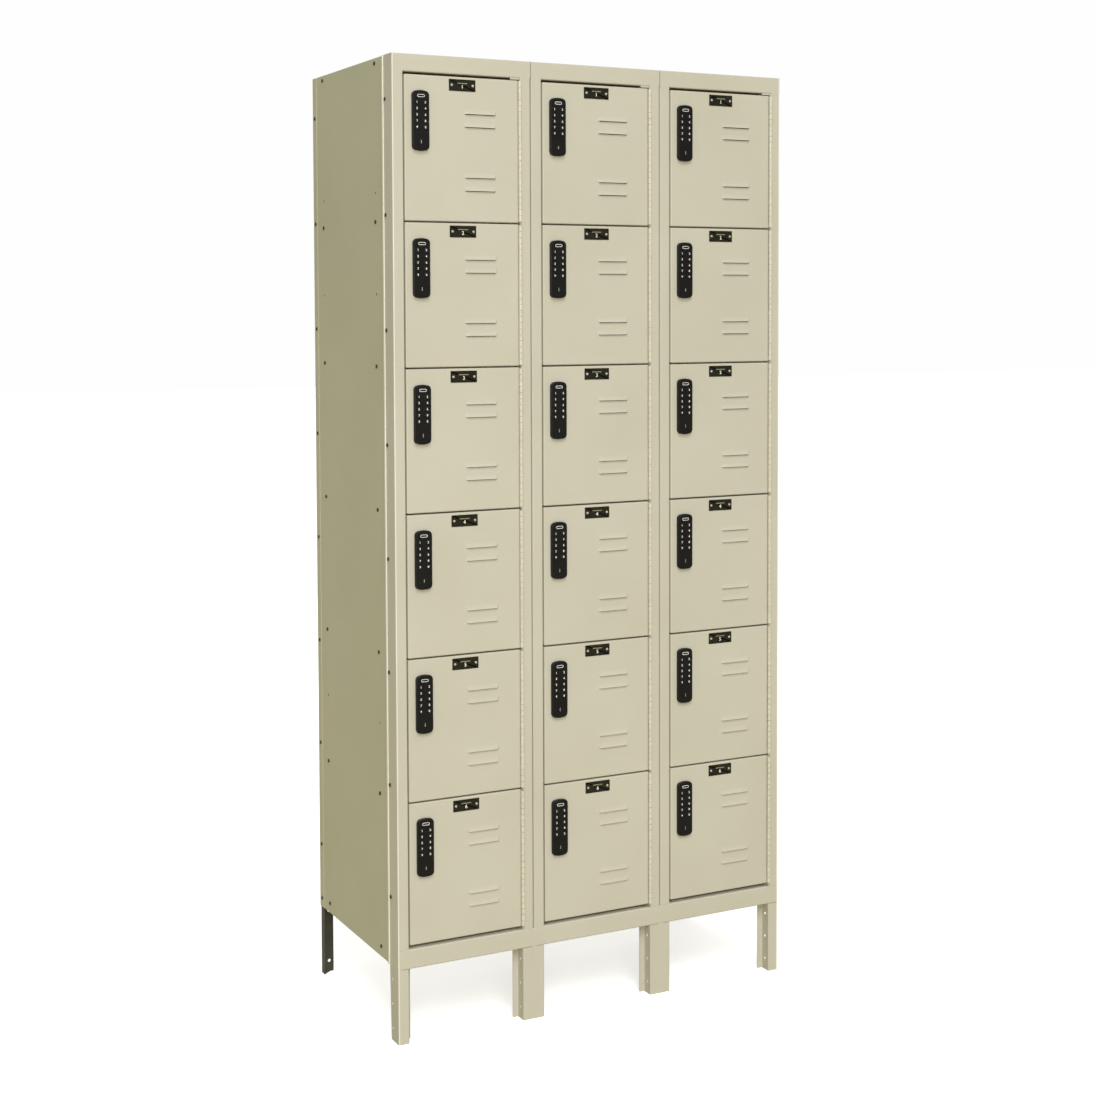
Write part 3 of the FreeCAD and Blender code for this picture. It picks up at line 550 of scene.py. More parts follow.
FRAME_SHEET = 1.5
BEND = 2.5                  # outside radius of a fold, a millimetre more than the sheet
LOCK_SIDE = 24.5            # where the lock-side upright ends and the opening starts
WEB_DEPTH = 27.0
STRIKE = 12.0
OUTER_DEPTH = 44.0
FOOT_DEPTH = 38.0
GAP_OVER_DOORS, GAP_UNDER_DOORS = 5.0, 7.5
HEADER_FOOT = in_mm(door_high).z + GAP_OVER_DOORS
LEG = in_mm(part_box("frame_rails")[0]).z
SILL = in_mm(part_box("door_c1_t6")[0]).z - GAP_UNDER_DOORS
LEG_HOLES, FIRST_HOLE, HOLE_PITCH, HOLE_RADIUS = 3, 25.4, 50.8, 3.2
WEB_HOLE_DEPTH, FLANGE_HOLE_MARGIN = 14.0, 6.4
OVERCUT = 1.0               # how far a cutter reaches past what it cuts
print("opening from %.1f to %.1f mm, legs %.1f mm" % (SILL, HEADER_FOOT, LEG))

# %% An upright, left or right
def upright(side):
    """One upright of the first column; side is 1 at the lock and -1 at the hinge."""
    def x(value):
        return value if side > 0 else COLUMN_PITCH - value

    s, t = SEAM_SETBACK, FRAME_SHEET
    name = "upright_lock_side" if side > 0 else "upright_hinge_side"
    path = [(x(s), OUTER_DEPTH), (x(s), 0), (x(LOCK_SIDE), 0), (x(LOCK_SIDE), WEB_DEPTH - t),
            (x(LOCK_SIDE + STRIKE), WEB_DEPTH - t)]
    piece = folded(name, "Z", path, 0.0, HEIGHT, BEND, t, (side, 0, 0))

    def cutter(x0, y0, z0, x1, y1, z1):
        a, b = sorted((x(x0), x(x1)))
        return block("cutter", (a, y0, z0), (b, y1, z1))

    c = OVERCUT
    tools = [cutter(s + t, -c, HEADER_FOOT, LOCK_SIDE + STRIKE + c, WEB_DEPTH + c, HEIGHT + c),
             cutter(s - c, -c, HEADER_FOOT, s + t + c, t, HEIGHT + c),
             cutter(s - c, -c, LEG, LOCK_SIDE + c, t, SILL)]
    taper = cutter(s - c, FOOT_DEPTH, -c, s + t + c, OUTER_DEPTH + 2 * c, LEG)
    move(taper, "EDGE", lambda e: runs(e, "X") and near(middle(e).y, FOOT_DEPTH) and middle(e).z > 1,
         y=OUTER_DEPTH - FOOT_DEPTH)
    tools.append(taper)
    for n in range(LEG_HOLES):
        z = FIRST_HOLE + HOLE_PITCH * n
        for middle_x, y in ((x(LOCK_SIDE), WEB_HOLE_DEPTH), (x(s), FOOT_DEPTH - FLANGE_HOLE_MARGIN)):
            tools.append(round_bar("cutter", HOLE_RADIUS, (middle_x - 4 * c, y, z), 8 * c, "X"))
    for tool in tools:
        combine(piece, tool)
    return piece


for first in (upright(1), upright(-1)):
    base = first.name
    for column in range(COLUMNS):
        piece = first if column == 0 else copy_of(first, base, x=column * COLUMN_PITCH)
        piece.name = "%s_%d" % (base, column + 1)
        dress(piece, ENAMEL, "cabinet", "cabinet_paint", "frame_uprights")
print("uprights folded, faces in one:", len(piece.data.polygons))

# %% [markdown]
# The outer side panels lap over the frame, and the hem at their front edge faces the light. Its near-white
# enamel is a painted highlight, so it reads as one bright line from the leg to the top.

# %% Hems of the side panels
HEM_PROUD, HEM_WIDTH = 1.7, 6.0
TOTAL_WIDTH = COLUMNS * COLUMN_PITCH
SIDE_LEFT, SIDE_RIGHT = SEAM_SETBACK, TOTAL_WIDTH - SEAM_SETBACK


def stands_out(edge):
    """True if the edge is clear of both side sheets, on the outside of the locker."""
    return not SIDE_LEFT - 0.1 < middle(edge).x < SIDE_RIGHT + 0.1


for name, low_x in (("left", SIDE_LEFT - HEM_PROUD), ("right", SIDE_RIGHT)):
    hem = block("panel_hem_" + name, (low_x, OUTER_DEPTH, LEG),
                (low_x + HEM_PROUD, OUTER_DEPTH + HEM_WIDTH, HEIGHT))
    round_edges(hem, lambda e: runs(e, "Z") and stands_out(e), 0.4, 3)
    round_edges(hem, lambda e: runs(e, "Y") and (middle(e).z > HEIGHT - 1 or middle(e).z < LEG + 1), 0.3, 2)
    dress(hem, HIGHLIGHT_ENAMEL, "cabinet", "cabinet_paint")

# %% [markdown]
# A skin thinner than a fingernail, in near-white enamel, runs along each of the two outer front folds as a
# painted highlight.

# %% Painted highlights on the folds
HIGHLIGHT_WIDTH, HIGHLIGHT_PROUD, HIGHLIGHT_SETBACK = 2.2, 0.12, 0.3
for name, x0 in (("left", SIDE_LEFT + HIGHLIGHT_SETBACK), ("right", SIDE_RIGHT - HIGHLIGHT_SETBACK - HIGHLIGHT_WIDTH)):
    highlight_skin = block("rubbed_fold_" + name, (x0, -HIGHLIGHT_PROUD, 0.0), (x0 + HIGHLIGHT_WIDTH, FRAME_SHEET / 2, HEIGHT))
    round_edges(highlight_skin, lambda e: near(middle(e).y, -HIGHLIGHT_PROUD), 0.08, 1)
    dress(highlight_skin, HIGHLIGHT_ENAMEL, "cabinet", "cabinet_paint")

# %% [markdown]
# ## Headers and rails
# The same fold, lying down. A header closes the top of each column and a deeper rail its foot; both
# are channels open to the back, and their flanges are cut short to pass between the uprights.

# %% Headers and rails
CHANNEL_DEPTH = 25.0
LUG_WIDTH, LUG_DROP, LUG_GAP = 21.0, 3.4, 1.0


def channel(name, z0, z1, flange_from, seam):
    """A channel across one column, less a seam, its flanges starting this far in from its ends."""
    path = [(CHANNEL_DEPTH, z0), (0, z0), (0, z1), (CHANNEL_DEPTH, z1)]
    piece = folded(name, "X", path, seam, COLUMN_PITCH - seam, BEND, FRAME_SHEET, (0, 1, 0))
    c = OVERCUT
    for a, b in ((-c, flange_from), (COLUMN_PITCH - flange_from, COLUMN_PITCH + c)):
        combine(piece, block("cutter", (a, FRAME_SHEET, z0 - c), (b, CHANNEL_DEPTH + c, z1 + c)))
    return piece


def with_lug(piece):
    """A lug beside the hinge hangs from the header and closes the end of the gap over the door."""
    right = COLUMN_PITCH - LOCK_SIDE
    lug = block("lug", (right - LUG_WIDTH, FRAME_SHEET, HEADER_FOOT - LUG_DROP),
                (right - LUG_GAP, 2 * FRAME_SHEET, HEADER_FOOT + FRAME_SHEET))
    round_edges(lug, lambda e: runs(e, "Y") and middle(e).z < HEADER_FOOT, 1.2, 3)
    return join([piece, lug])


HEADER_FLANGE_FROM, HEADER_SEAM, RAIL_SEAM = 3.1, 0.7, 0.15
for first in (with_lug(channel("header", HEADER_FOOT, HEIGHT, HEADER_FLANGE_FROM, HEADER_SEAM)),
              channel("bottom_rail", LEG, SILL, LOCK_SIDE, RAIL_SEAM)):
    base = first.name
    for column in range(COLUMNS):
        piece = first if column == 0 else copy_of(first, base, x=column * COLUMN_PITCH)
        piece.name = "%s_%d" % (base, column + 1)
        dress(piece, ENAMEL, "cabinet", "cabinet_paint", "frame_rails")

# %% [markdown]
# Where a header meets an upright, and where two legs and rails stand side by side, the joint is welded
# and dressed flush, so no line shows through the enamel there.

# %% Dressed welds
WELD_PROUD, WELD_REACH = 0.15, 3.2


def dressed_weld(name, x0, z0, x1, z1):
    """A thin flush skin of enamel over a joint in the front face."""
    skin = block(name, (x0, -WELD_PROUD, z0), (x1, FRAME_SHEET / 2, z1))
    round_edges(skin, lambda e: near(middle(e).y, -WELD_PROUD), 0.1, 1)
    dress(skin, ENAMEL, "cabinet", "cabinet_paint")


for column in range(COLUMNS):
    x = column * COLUMN_PITCH
    for side, x0 in (("lock", x + SEAM_SETBACK + BEND), ("hinge", x + COLUMN_PITCH - LOCK_SIDE + BEND / 2)):
        dressed_weld("header_weld_%s_%d" % (side, column + 1), x0, HEADER_FOOT - WELD_REACH,
                     x0 + LOCK_SIDE - SEAM_SETBACK - 1.5 * BEND, HEADER_FOOT + WELD_REACH)
    if column:
        dressed_weld("leg_weld_%d" % column, x - WELD_REACH, 0.0, x + WELD_REACH, SILL - BEND)

# %% [markdown]
# ## The sheet body
# Sides, back, top, shelves and the inner frame are flat sheets that the imported model already has in
# their true shape, so they stay as they are and only get their enamel. The enamel on the outer sheets and
# the inner parts is a darker, more olive copy of the front's, as painted shade.

# %% Enamel on the plain sheets
for node in ("side_panel_left", "side_panel_right", "back_panels", "top_panels"):
    repaint(node, SHADED_SHEET_ENAMEL)
for node in ("partition_panels", "bottom_panels", "shelves", "frame_cross_members"):
    repaint(node, SHADED_INSIDE_ENAMEL)
repaint("rear_legs", LEG_PAINT)
repaint("fasteners", BOLT_BLACK)

# %% [markdown]
# ## A door
# A door is a pan: a flat face with four folded sides and a narrow return lip behind. It starts as a
# block, its rear face is inset and opened, the front edges are rounded and the shell gets its gauge.

# %% Where a door lies
hinge = next(j for j in frame["joints"] if j["name"] == "hinge_c1_t1")
HINGE = in_mm(hinge["pos_m"])
DOOR_LEFT = in_mm(door_low).x
DOOR_FOOT, DOOR_HEAD = in_mm(door_low).z, in_mm(door_high).z
LEAF, LEAF_ROOM = 1.2, 0.15  # a hinge leaf, and how far it lies from the pin's centre plane
DOOR_RIGHT = HINGE.x - LEAF_ROOM - LEAF
DOOR_FACE, DOOR_BACK, DOOR_SHEET, RETURN_LIP = 1.0, 19.0, 1.5, 10.0

# %% The pan
HINGE_ROLL = 2.5            # how much further the face starts to fall away beside the hinge
pan = block("door_pan", (DOOR_LEFT, DOOR_FACE, DOOR_FOOT), (DOOR_RIGHT, DOOR_BACK, DOOR_HEAD))
choose(pan, "FACE", lambda f: f.normal.y > 0.9)
bpy.ops.mesh.inset(thickness=RETURN_LIP * MM)
bpy.ops.mesh.delete(type="FACE")
done()
round_edges(pan, lambda e: near(middle(e).y, DOOR_FACE) or (runs(e, "Y") and len(e.link_faces) == 2),
            BEND, 4)
hinge_fold = DOOR_RIGHT - BEND
move(pan, "VERT", lambda v: near(in_mm(v.co).x, hinge_fold) and near(in_mm(v.co).y, DOOR_FACE),
     x=-HINGE_ROLL)
use(pan, "SOLIDIFY", thickness=DOOR_SHEET * MM, offset=-1.0, use_even_offset=True)

# %% [markdown]
# ## Louvres
# A louvre is sheared along its lower edge and pushed out, so its hood leans back into the sheet at
# the top and both ends, and leaves a slot that looks down. One hood is shaped, then four are welded
# on; a slightly smaller one, set back and down, opens the slot behind each.

# %% Louvres
LOUVRE_WIDTH, LOUVRE_HEIGHT, LOUVRE_PROUD, LOUVRE_MARGIN = 72.0, 12.0, 3.5, 50.0
LOUVRE_WALL, LOUVRE_TAPER, LOUVRE_ROOT = 1.2, 8.0, 0.8
LOUVRE_RIGHT = DOOR_RIGHT - LOUVRE_MARGIN
LOUVRE_LEFT = LOUVRE_RIGHT - LOUVRE_WIDTH
LOUVRE_LIPS = (73.0, 99.0, 200.0, 226.0)


def hood(name, lip, trim, back, down):
    """The leaning hood, or with trim, back and down the hollow behind it."""
    x0, x1 = LOUVRE_LEFT + trim, LOUVRE_RIGHT - trim
    y0 = DOOR_FACE - LOUVRE_PROUD + back
    z0, z1 = lip - down, lip + LOUVRE_HEIGHT - down
    piece = block(name, (x0, y0, z0), (x1, DOOR_FACE + LOUVRE_ROOT + back, z1))
    move(piece, "EDGE", lambda e: runs(e, "X") and near(middle(e).y, y0) and near(middle(e).z, z1),
         y=LOUVRE_PROUD)
    choose(piece, "EDGE", lambda e: runs(e, "X") and near(middle(e).y, y0) and near(middle(e).z, z0))
    bpy.ops.transform.resize(value=(1 - LOUVRE_TAPER / LOUVRE_WIDTH, 1, 1),
                             center_override=at((x0 + x1) / 2, y0, z0))
    done()
    round_edges(piece, lambda e: not near(middle(e).z, z0) and middle(e).y < DOOR_FACE + back - 0.1, 2.0, 3)
    return piece


def four(kind, **shape):
    """Four hoods or four hollows, as one object."""
    return join([hood("%s_%d" % (kind, n), DOOR_HEAD - down, **shape)
                 for n, down in enumerate(LOUVRE_LIPS)])


combine(pan, four("hood", trim=0.0, back=0.0, down=0.0), "UNION")
combine(pan, four("hollow", trim=1.6, back=LOUVRE_WALL, down=LOUVRE_WALL))
print("door pan faces:", len(pan.data.polygons))

# %% [markdown]
# ## The continuous hinge
# Two thin leaves have their edges rolled into knuckles round one long pin. A knuckle is an open tube
# with a wall; an array sets them out along the leaf, and the other leaf's knuckles fill the spaces.

# %% Hinge leaves and pin
HINGE_SHORTER, KNUCKLES = 2.0, 23
HINGE_LENGTH = DOOR_HEAD - DOOR_FOOT - 2 * HINGE_SHORTER
HINGE_FOOT = DOOR_FOOT + HINGE_SHORTER
KNUCKLE_RADIUS, PIN_RADIUS, KNUCKLE_GAP, PIN_ROOM = 3.6, 1.6, 0.9, 0.05
LEAF_WIDTH, LEAF_BEHIND, TAB_FROM = 16.0, 0.3, 2.6
knuckle_pitch = HINGE_LENGTH / KNUCKLES


def hinge_leaf(name, side, first, count):
    """A leaf; side is -1 on the door and 1 on the frame, and first is its lowest knuckle."""
    x0 = HINGE.x + (LEAF_ROOM if side > 0 else -LEAF_ROOM - LEAF)
    strip_front = HINGE.y + KNUCKLE_RADIUS + LEAF_BEHIND
    z = HINGE_FOOT + first * knuckle_pitch + KNUCKLE_GAP / 2
    length = knuckle_pitch - KNUCKLE_GAP
    tube = round_bar(name, KNUCKLE_RADIUS, (HINGE.x, HINGE.y, z), length, "Z", 24, "NOTHING")
    use(tube, "SOLIDIFY", thickness=(KNUCKLE_RADIUS - PIN_RADIUS - PIN_ROOM) * MM, offset=-1.0)
    tab = block("tab", (x0, HINGE.y + TAB_FROM, z), (x0 + LEAF, strip_front + OVERCUT, z + length))
    knuckles = join([tube, tab])
    use(knuckles, "ARRAY", count=count, use_relative_offset=False, use_constant_offset=True,
        constant_offset_displace=(0, 0, 2 * knuckle_pitch * MM))
    strip = block("strip", (x0, strip_front, HINGE_FOOT),
                  (x0 + LEAF, strip_front + LEAF_WIDTH, HINGE_FOOT + HINGE_LENGTH))
    round_edges(strip, lambda e: True, 0.2, 1)
    return join([knuckles, strip])


moving_leaf = hinge_leaf("hinge_moving_leaf", -1, 1, KNUCKLES // 2)
fixed_leaf = hinge_leaf("hinge_fixed_leaf", 1, 0, KNUCKLES // 2 + 1)
pin = round_bar("hinge_pin", PIN_RADIUS, (HINGE.x, HINGE.y, HINGE_FOOT), HINGE_LENGTH, "Z", 16)
round_edges(pin, lambda e: not runs(e, "Z"), 0.5, 2)
print("knuckles:", KNUCKLES)

# %% [markdown]
# ## Number plate
# A stamped plate with a raised rim, held by two domed rivets. A plain bar stands where a plate has
# its lettering, and the tier's number is under it.

# %% Number plate and rivets
PLATE_WIDTH, PLATE_HEIGHT, PLATE_SHEET, PLATE_DOWN = 58.0, 23.5, 0.8, 5.0
RULE_WIDTH, RULE_HEIGHT, RULE_UP = 22.0, 2.0, 3.0
FIGURE_SIZE, FIGURE_DOWN = 10.5, 3.2
RIVET_RADIUS, RIVET_REACH = 2.6, 23.0
PLATE_FACE = DOOR_FACE - PLATE_SHEET
plate_x = (DOOR_LEFT + DOOR_RIGHT) / 2
plate_z = DOOR_HEAD - PLATE_DOWN - PLATE_HEIGHT / 2
plate = block("number_plate", (plate_x - PLATE_WIDTH / 2, PLATE_FACE, plate_z - PLATE_HEIGHT / 2),
              (plate_x + PLATE_WIDTH / 2, DOOR_FACE, plate_z + PLATE_HEIGHT / 2))
round_edges(plate, lambda e: runs(e, "Y"), 0.9, 3)
choose(plate, "FACE", lambda f: f.normal.y < -0.9)
bpy.ops.mesh.inset(thickness=1.0 * MM)
bpy.ops.mesh.inset(thickness=0.3 * MM, depth=-0.25 * MM)
done()
round_edges(plate, lambda e: near(middle(e).y, PLATE_FACE) and rim_of(e, (0, -1, 0)), 0.2, 2)
rivets = []
for side in (-1, 1):
    rivet = round_bar("rivet", RIVET_RADIUS, (plate_x + side * RIVET_REACH, DOOR_FACE - 0.3, plate_z),
                      -1.7, "Y", 20)
    round_edges(rivet, lambda e: middle(e).y < DOOR_FACE - 1.9, 1.1, 4)
    rivets.append(rivet)
rivet_pair = join(rivets)
rivet_pair.name = "plate_rivets"
rule = block("plate_rule", (plate_x - RULE_WIDTH / 2, PLATE_FACE, plate_z + RULE_UP),
             (plate_x + RULE_WIDTH / 2, PLATE_FACE + 0.4, plate_z + RULE_UP + RULE_HEIGHT))
round_edges(rule, lambda e: middle(e).y < PLATE_FACE + 0.1, 0.15, 2)

# %% Numerals
def numeral(name, text, size, x, y, z, thick, bolder=0.0):
    """A raised figure that faces the front, centred on a point; y is its front."""
    select_only()
    bpy.ops.object.text_add(location=at(x, y + thick / 2, z), rotation=(math.pi / 2, 0, 0))
    words = bpy.context.object
    words.data.body = text
    words.data.size = size * MM
    words.data.extrude = thick / 2 * MM
    words.data.offset = bolder * MM
    words.data.align_x = "CENTER"
    words.data.align_y = "CENTER"
    words.data.resolution_u = 3
    bpy.ops.object.convert(target="MESH")
    return named(name)


# %% [markdown]
# ## The keypad lock
# The housing is a die casting with a crowned head and foot, round corners and a soft front rim. Ten
# wells take the keys, which are separate caps so that each can be pressed.

# %% Housing
LOCK_WIDTH, LOCK_HEIGHT, LOCK_PROUD, CROWN, LOCK_CORNER = 36.0, 119.0, 7.0, 3.5, 6.0
LOCK_MARGIN, LOCK_DOWN = 15.0, 31.0
LOCK_LEFT = DOOR_LEFT + LOCK_MARGIN
LOCK_RIGHT = LOCK_LEFT + LOCK_WIDTH
LOCK_TOP = DOOR_HEAD - LOCK_DOWN
LOCK_FOOT = LOCK_TOP - LOCK_HEIGHT
LOCK_FACE = DOOR_FACE - LOCK_PROUD
lock_x = LOCK_LEFT + LOCK_WIDTH / 2

housing = block("lock_housing", (LOCK_LEFT, LOCK_FACE, LOCK_FOOT + CROWN),
                (LOCK_RIGHT, DOOR_FACE, LOCK_TOP - CROWN))
round_edges(housing, lambda e: runs(e, "Y"), LOCK_CORNER, 5)
choose(housing, "EDGE", lambda e: runs(e, "X"))
bpy.ops.mesh.subdivide(number_cuts=8)
done()
half_height = (LOCK_TOP + LOCK_FOOT) / 2
for x in sorted({round(in_mm(v.co).x, 2) for v in housing.data.vertices}):
    rise = CROWN * (1 - ((x - lock_x) / (LOCK_WIDTH / 2)) ** 2)
    for way in (1, -1):
        move(housing, "VERT", lambda v: near(in_mm(v.co).x, x) and (in_mm(v.co).z - half_height) * way > 0,
             z=way * rise)
round_edges(housing, lambda e: near(middle(e).y, LOCK_FACE) and rim_of(e, (0, -1, 0)), 2.0, 5)


def stadium(name, x, z, wide, high, front, rear, segments=6):
    """A block with round ends, standing out towards the front."""
    piece = block(name, (x - wide / 2, front, z - high / 2), (x + wide / 2, rear, z + high / 2))
    round_edges(piece, lambda e: runs(e, "Y"), min(wide, high) / 2 - 0.03, segments)
    return piece


KEY_ROWS, KEY_WIDE, KEY_HIGH, KEY_PROUD = 5, 11.0, 8.0, 0.75
KEY_SPREAD, KEYS_DOWN, ROW_PITCH = 17.9, 24.0, 12.3
WELL_DEPTH, WELL_ROOM = 3.3, 0.3
KEY_FACE = LOCK_FACE - KEY_PROUD
KEY_PLACES = [(lock_x + side * KEY_SPREAD / 2, LOCK_TOP - KEYS_DOWN - ROW_PITCH * row)
              for row in range(KEY_ROWS) for side in (-1, 1)]
wells = join([stadium("well", x, z, KEY_WIDE + 2 * WELL_ROOM, KEY_HIGH + 2 * WELL_ROOM,
                      LOCK_FACE - OVERCUT, LOCK_FACE + WELL_DEPTH) for x, z in KEY_PLACES])
combine(housing, wells)

# %% [markdown]
# A master key opens the lock through a narrow slot in an oval boss near its foot. A thin ring near
# its head frames the window of the status light.

# %% Key slot and status ring
SLOT_DOWN, SLOT_HALF_WIDTH, SLOT_HALF_HEIGHT, RING_DOWN = 101.0, 1.1, 3.5, 11.0
slot_z = LOCK_TOP - SLOT_DOWN
ring_z = LOCK_TOP - RING_DOWN
escutcheon = stadium("key_escutcheon", lock_x, slot_z, 8.0, 12.0, LOCK_FACE - 0.5, LOCK_FACE + 2.0, 8)
round_edges(escutcheon, lambda e: near(middle(e).y, LOCK_FACE - 0.5), 0.35, 2)
for piece in (housing, escutcheon):
    combine(piece, block("cutter", (lock_x - SLOT_HALF_WIDTH, LOCK_FACE - OVERCUT, slot_z - SLOT_HALF_HEIGHT),
                         (lock_x + SLOT_HALF_WIDTH, LOCK_FACE + 3.4, slot_z + SLOT_HALF_HEIGHT)))
keyway = block("keyway_lining", (lock_x - 1.05, LOCK_FACE + 0.4, slot_z - 3.4),
               (lock_x + 1.05, LOCK_FACE + 3.3, slot_z + 3.4))
choose(keyway, "FACE", lambda f: f.normal.y < -0.9)
bpy.ops.mesh.inset(thickness=0.3 * MM)
bpy.ops.mesh.inset(thickness=0.15 * MM, depth=-1.5 * MM)
done()
mark = stadium("lock_status_ring", lock_x, ring_z, 16.0, 5.6, LOCK_FACE - 0.25, LOCK_FACE + 1.0)
combine(mark, stadium("cutter", lock_x, ring_z, 14.0, 3.6, LOCK_FACE - OVERCUT, LOCK_FACE + 2.0))
print("housing faces:", len(housing.data.polygons))

# %% Keys
def key_cap(name, x, z):
    cap = stadium(name, x, z, KEY_WIDE, KEY_HIGH, KEY_FACE, LOCK_FACE + 2.3)
    round_edges(cap, lambda e: near(middle(e).y, KEY_FACE), 0.5, 3)
    return cap


KEY_FIGURES = "1234567890"
first_cap = key_cap("key_cap", *KEY_PLACES[0])
figures = [numeral("figure_" + text, text, 6.0, x, LOCK_FACE - 0.9, z, 0.25, 0.18)
           for text, (x, z) in zip(KEY_FIGURES, KEY_PLACES)]

# %% Rear case and bolt
CASE_LEFT, CASE_REAR, CASE_HEIGHT = LOCK_LEFT - 1.0, 37.0, 100.0
case_z = (LOCK_TOP + LOCK_FOOT) / 2
rear_case = block("lock_rear_case", (CASE_LEFT, DOOR_FACE + DOOR_SHEET, case_z - CASE_HEIGHT / 2),
                  (LOCK_RIGHT + 1.0, CASE_REAR, case_z + CASE_HEIGHT / 2))
round_edges(rear_case, lambda e: runs(e, "Y"), 3.0, 4)
round_edges(rear_case, lambda e: near(middle(e).y, CASE_REAR), 1.5, 3)
LATCH_FRONT, LATCH_REAR, LATCH_LENGTH, LATCH_HALF, LATCH_ROOM = 28.6, 34.6, 28.0, 6.0, 0.3
LATCH_NOSE = (3.0, 1.5)
channel_half = LATCH_HALF + LATCH_ROOM
combine(rear_case, block("cutter", (CASE_LEFT - OVERCUT, LATCH_FRONT - LATCH_ROOM, case_z - channel_half),
                         (CASE_LEFT + LATCH_LENGTH + LATCH_ROOM, LATCH_REAR + LATCH_ROOM,
                          case_z + channel_half)))
latch = block("latch", (CASE_LEFT, LATCH_FRONT, case_z - LATCH_HALF),
              (CASE_LEFT + LATCH_LENGTH, LATCH_REAR, case_z + LATCH_HALF))
along, across = LATCH_NOSE
round_edges(latch, lambda e: runs(e, "Z") and near(middle(e).x, CASE_LEFT)
            and near(middle(e).y, LATCH_FRONT), across, 1)
move(latch, "EDGE", lambda e: runs(e, "Z") and near(middle(e).x, CASE_LEFT + across)
     and near(middle(e).y, LATCH_FRONT), x=along - across)
round_edges(latch, lambda e: near(abs(middle(e).z - case_z), LATCH_HALF), 0.4, 2)

# %% [markdown]
# ## Eighteen doors from one
# Everything on a door is copied to each compartment, each copy with its own mesh, and rides on that
# door. On the first lock the keys are bodies of their own; elsewhere they ride with the door.

# %% Setting out the doors
MASTERS = [(pan, ENAMEL, "cabinet_paint"), (moving_leaf, HINGE_ENAMEL, "hinge_steel"),
           (plate, PLATE_BLACK, "keypad_black"), (rule, RULE_OLIVE, "keypad_black"),
           (rivet_pair, ZINC, "bolt_steel"),
           (housing, LOCK_BLACK, "keypad_black"), (escutcheon, KEY_BLACK, "keypad_black"),
           (keyway, ZINC, "latch_steel"), (mark, NUMERAL, "keypad_black"),
           (rear_case, LOCK_BLACK, "keypad_black")]
for label, dx, dz in labels():
    door = "door_" + label
    for master, material, slot in MASTERS:
        piece = copy_of(master, "%s_%s" % (master.name, label), dx, 0, dz)
        dress(piece, material, door, slot, door)
    figure = numeral("plate_number_" + label, label[-1], FIGURE_SIZE, plate_x + dx, DOOR_FACE - 0.75,
                     plate_z - FIGURE_DOWN + dz, 0.3, 0.15)
    dress(figure, NUMERAL, door, "keypad_black", door)
    bolt = copy_of(latch, "latch_" + label, dx, 0, dz)
    dress(bolt, BOLT_STEEL, "lock_bolt_" + label, "latch_steel", "lock_bolt_" + label)
    for master, node in ((fixed_leaf, "hinge_fixed_leaves"), (pin, "hinge_pins")):
        piece = copy_of(master, "%s_%s" % (master.name, label), dx, 0, dz)
        dress(piece, HINGE_ENAMEL if master is fixed_leaf else BOLT_STEEL, "cabinet", "hinge_steel", node)
    caps = [copy_of(first_cap, "cap", x - KEY_PLACES[0][0] + dx, 0, z - KEY_PLACES[0][1] + dz)
            for x, z in KEY_PLACES]
    marks = [copy_of(f, "mark", dx, 0, dz) for f in figures]
    if label == "c1_t1":
        for n, (cap, mark_on) in enumerate(zip(caps, marks), start=1):
            node = "keypad_key_%02d" % n
            cap.name, mark_on.name = "key_cap_%02d" % n, "key_figure_%02d" % n
            dress(cap, KEY_BLACK, node, "keypad_black", node)
            dress(mark_on, NUMERAL, node, "keypad_black", node)
        continue
    caps, marks = join(caps), join(marks)
    caps.name, marks.name = "key_caps_" + label, "key_figures_" + label
    dress(caps, KEY_BLACK, door, "keypad_black", door)
    dress(marks, NUMERAL, door, "keypad_black", door)
for master in [m for m, _, _ in MASTERS] + [latch, fixed_leaf, pin, first_cap] + figures:
    bpy.data.objects.remove(master)

# %% [markdown]
# ## Floor, light and camera
# A broad soft light stands in front and to the left, so the left folds of doors and uprights are the
# bright ones. A weak, warm one beside the locker leaves its side in an olive shade, as a wall would; the
# side sheets' darker, more olive enamel adds painted shade to it.

# %% [markdown]
# The floor looks white to the camera, and to the light it is a warm board, so that what it throws back
# up the side is soft and yellowish.

# %% Floor
select_only()
bpy.ops.mesh.primitive_plane_add(size=60.0, location=(0, 0, CAD_BOX[0][2]))
floor = named("studio_floor")
floor_paint = bpy.data.materials.new("pale studio floor")
floor_paint.use_nodes = True
paint = floor_paint.node_tree
warm_board = paint.nodes["Principled BSDF"]
warm_board.inputs["Base Color"].default_value = srgb(192, 185, 150)
warm_board.inputs["Roughness"].default_value = 0.85
white = paint.nodes.new("ShaderNodeBsdfDiffuse")
white.inputs["Color"].default_value = srgb(246, 246, 244)
lift = paint.nodes.new("ShaderNodeEmission")
lift.inputs["Strength"].default_value = 0.6
lit, seen_or_not = paint.nodes.new("ShaderNodeAddShader"), paint.nodes.new("ShaderNodeMixShader")
paint.links.new(white.outputs[0], lit.inputs[0])
paint.links.new(lift.outputs[0], lit.inputs[1])
paint.links.new(paint.nodes.new("ShaderNodeLightPath").outputs["Is Camera Ray"], seen_or_not.inputs[0])
paint.links.new(warm_board.outputs[0], seen_or_not.inputs[1])
paint.links.new(lit.outputs[0], seen_or_not.inputs[2])
paint.links.new(seen_or_not.outputs[0], paint.nodes["Material Output"].inputs["Surface"])
floor.data.materials.append(floor_paint)


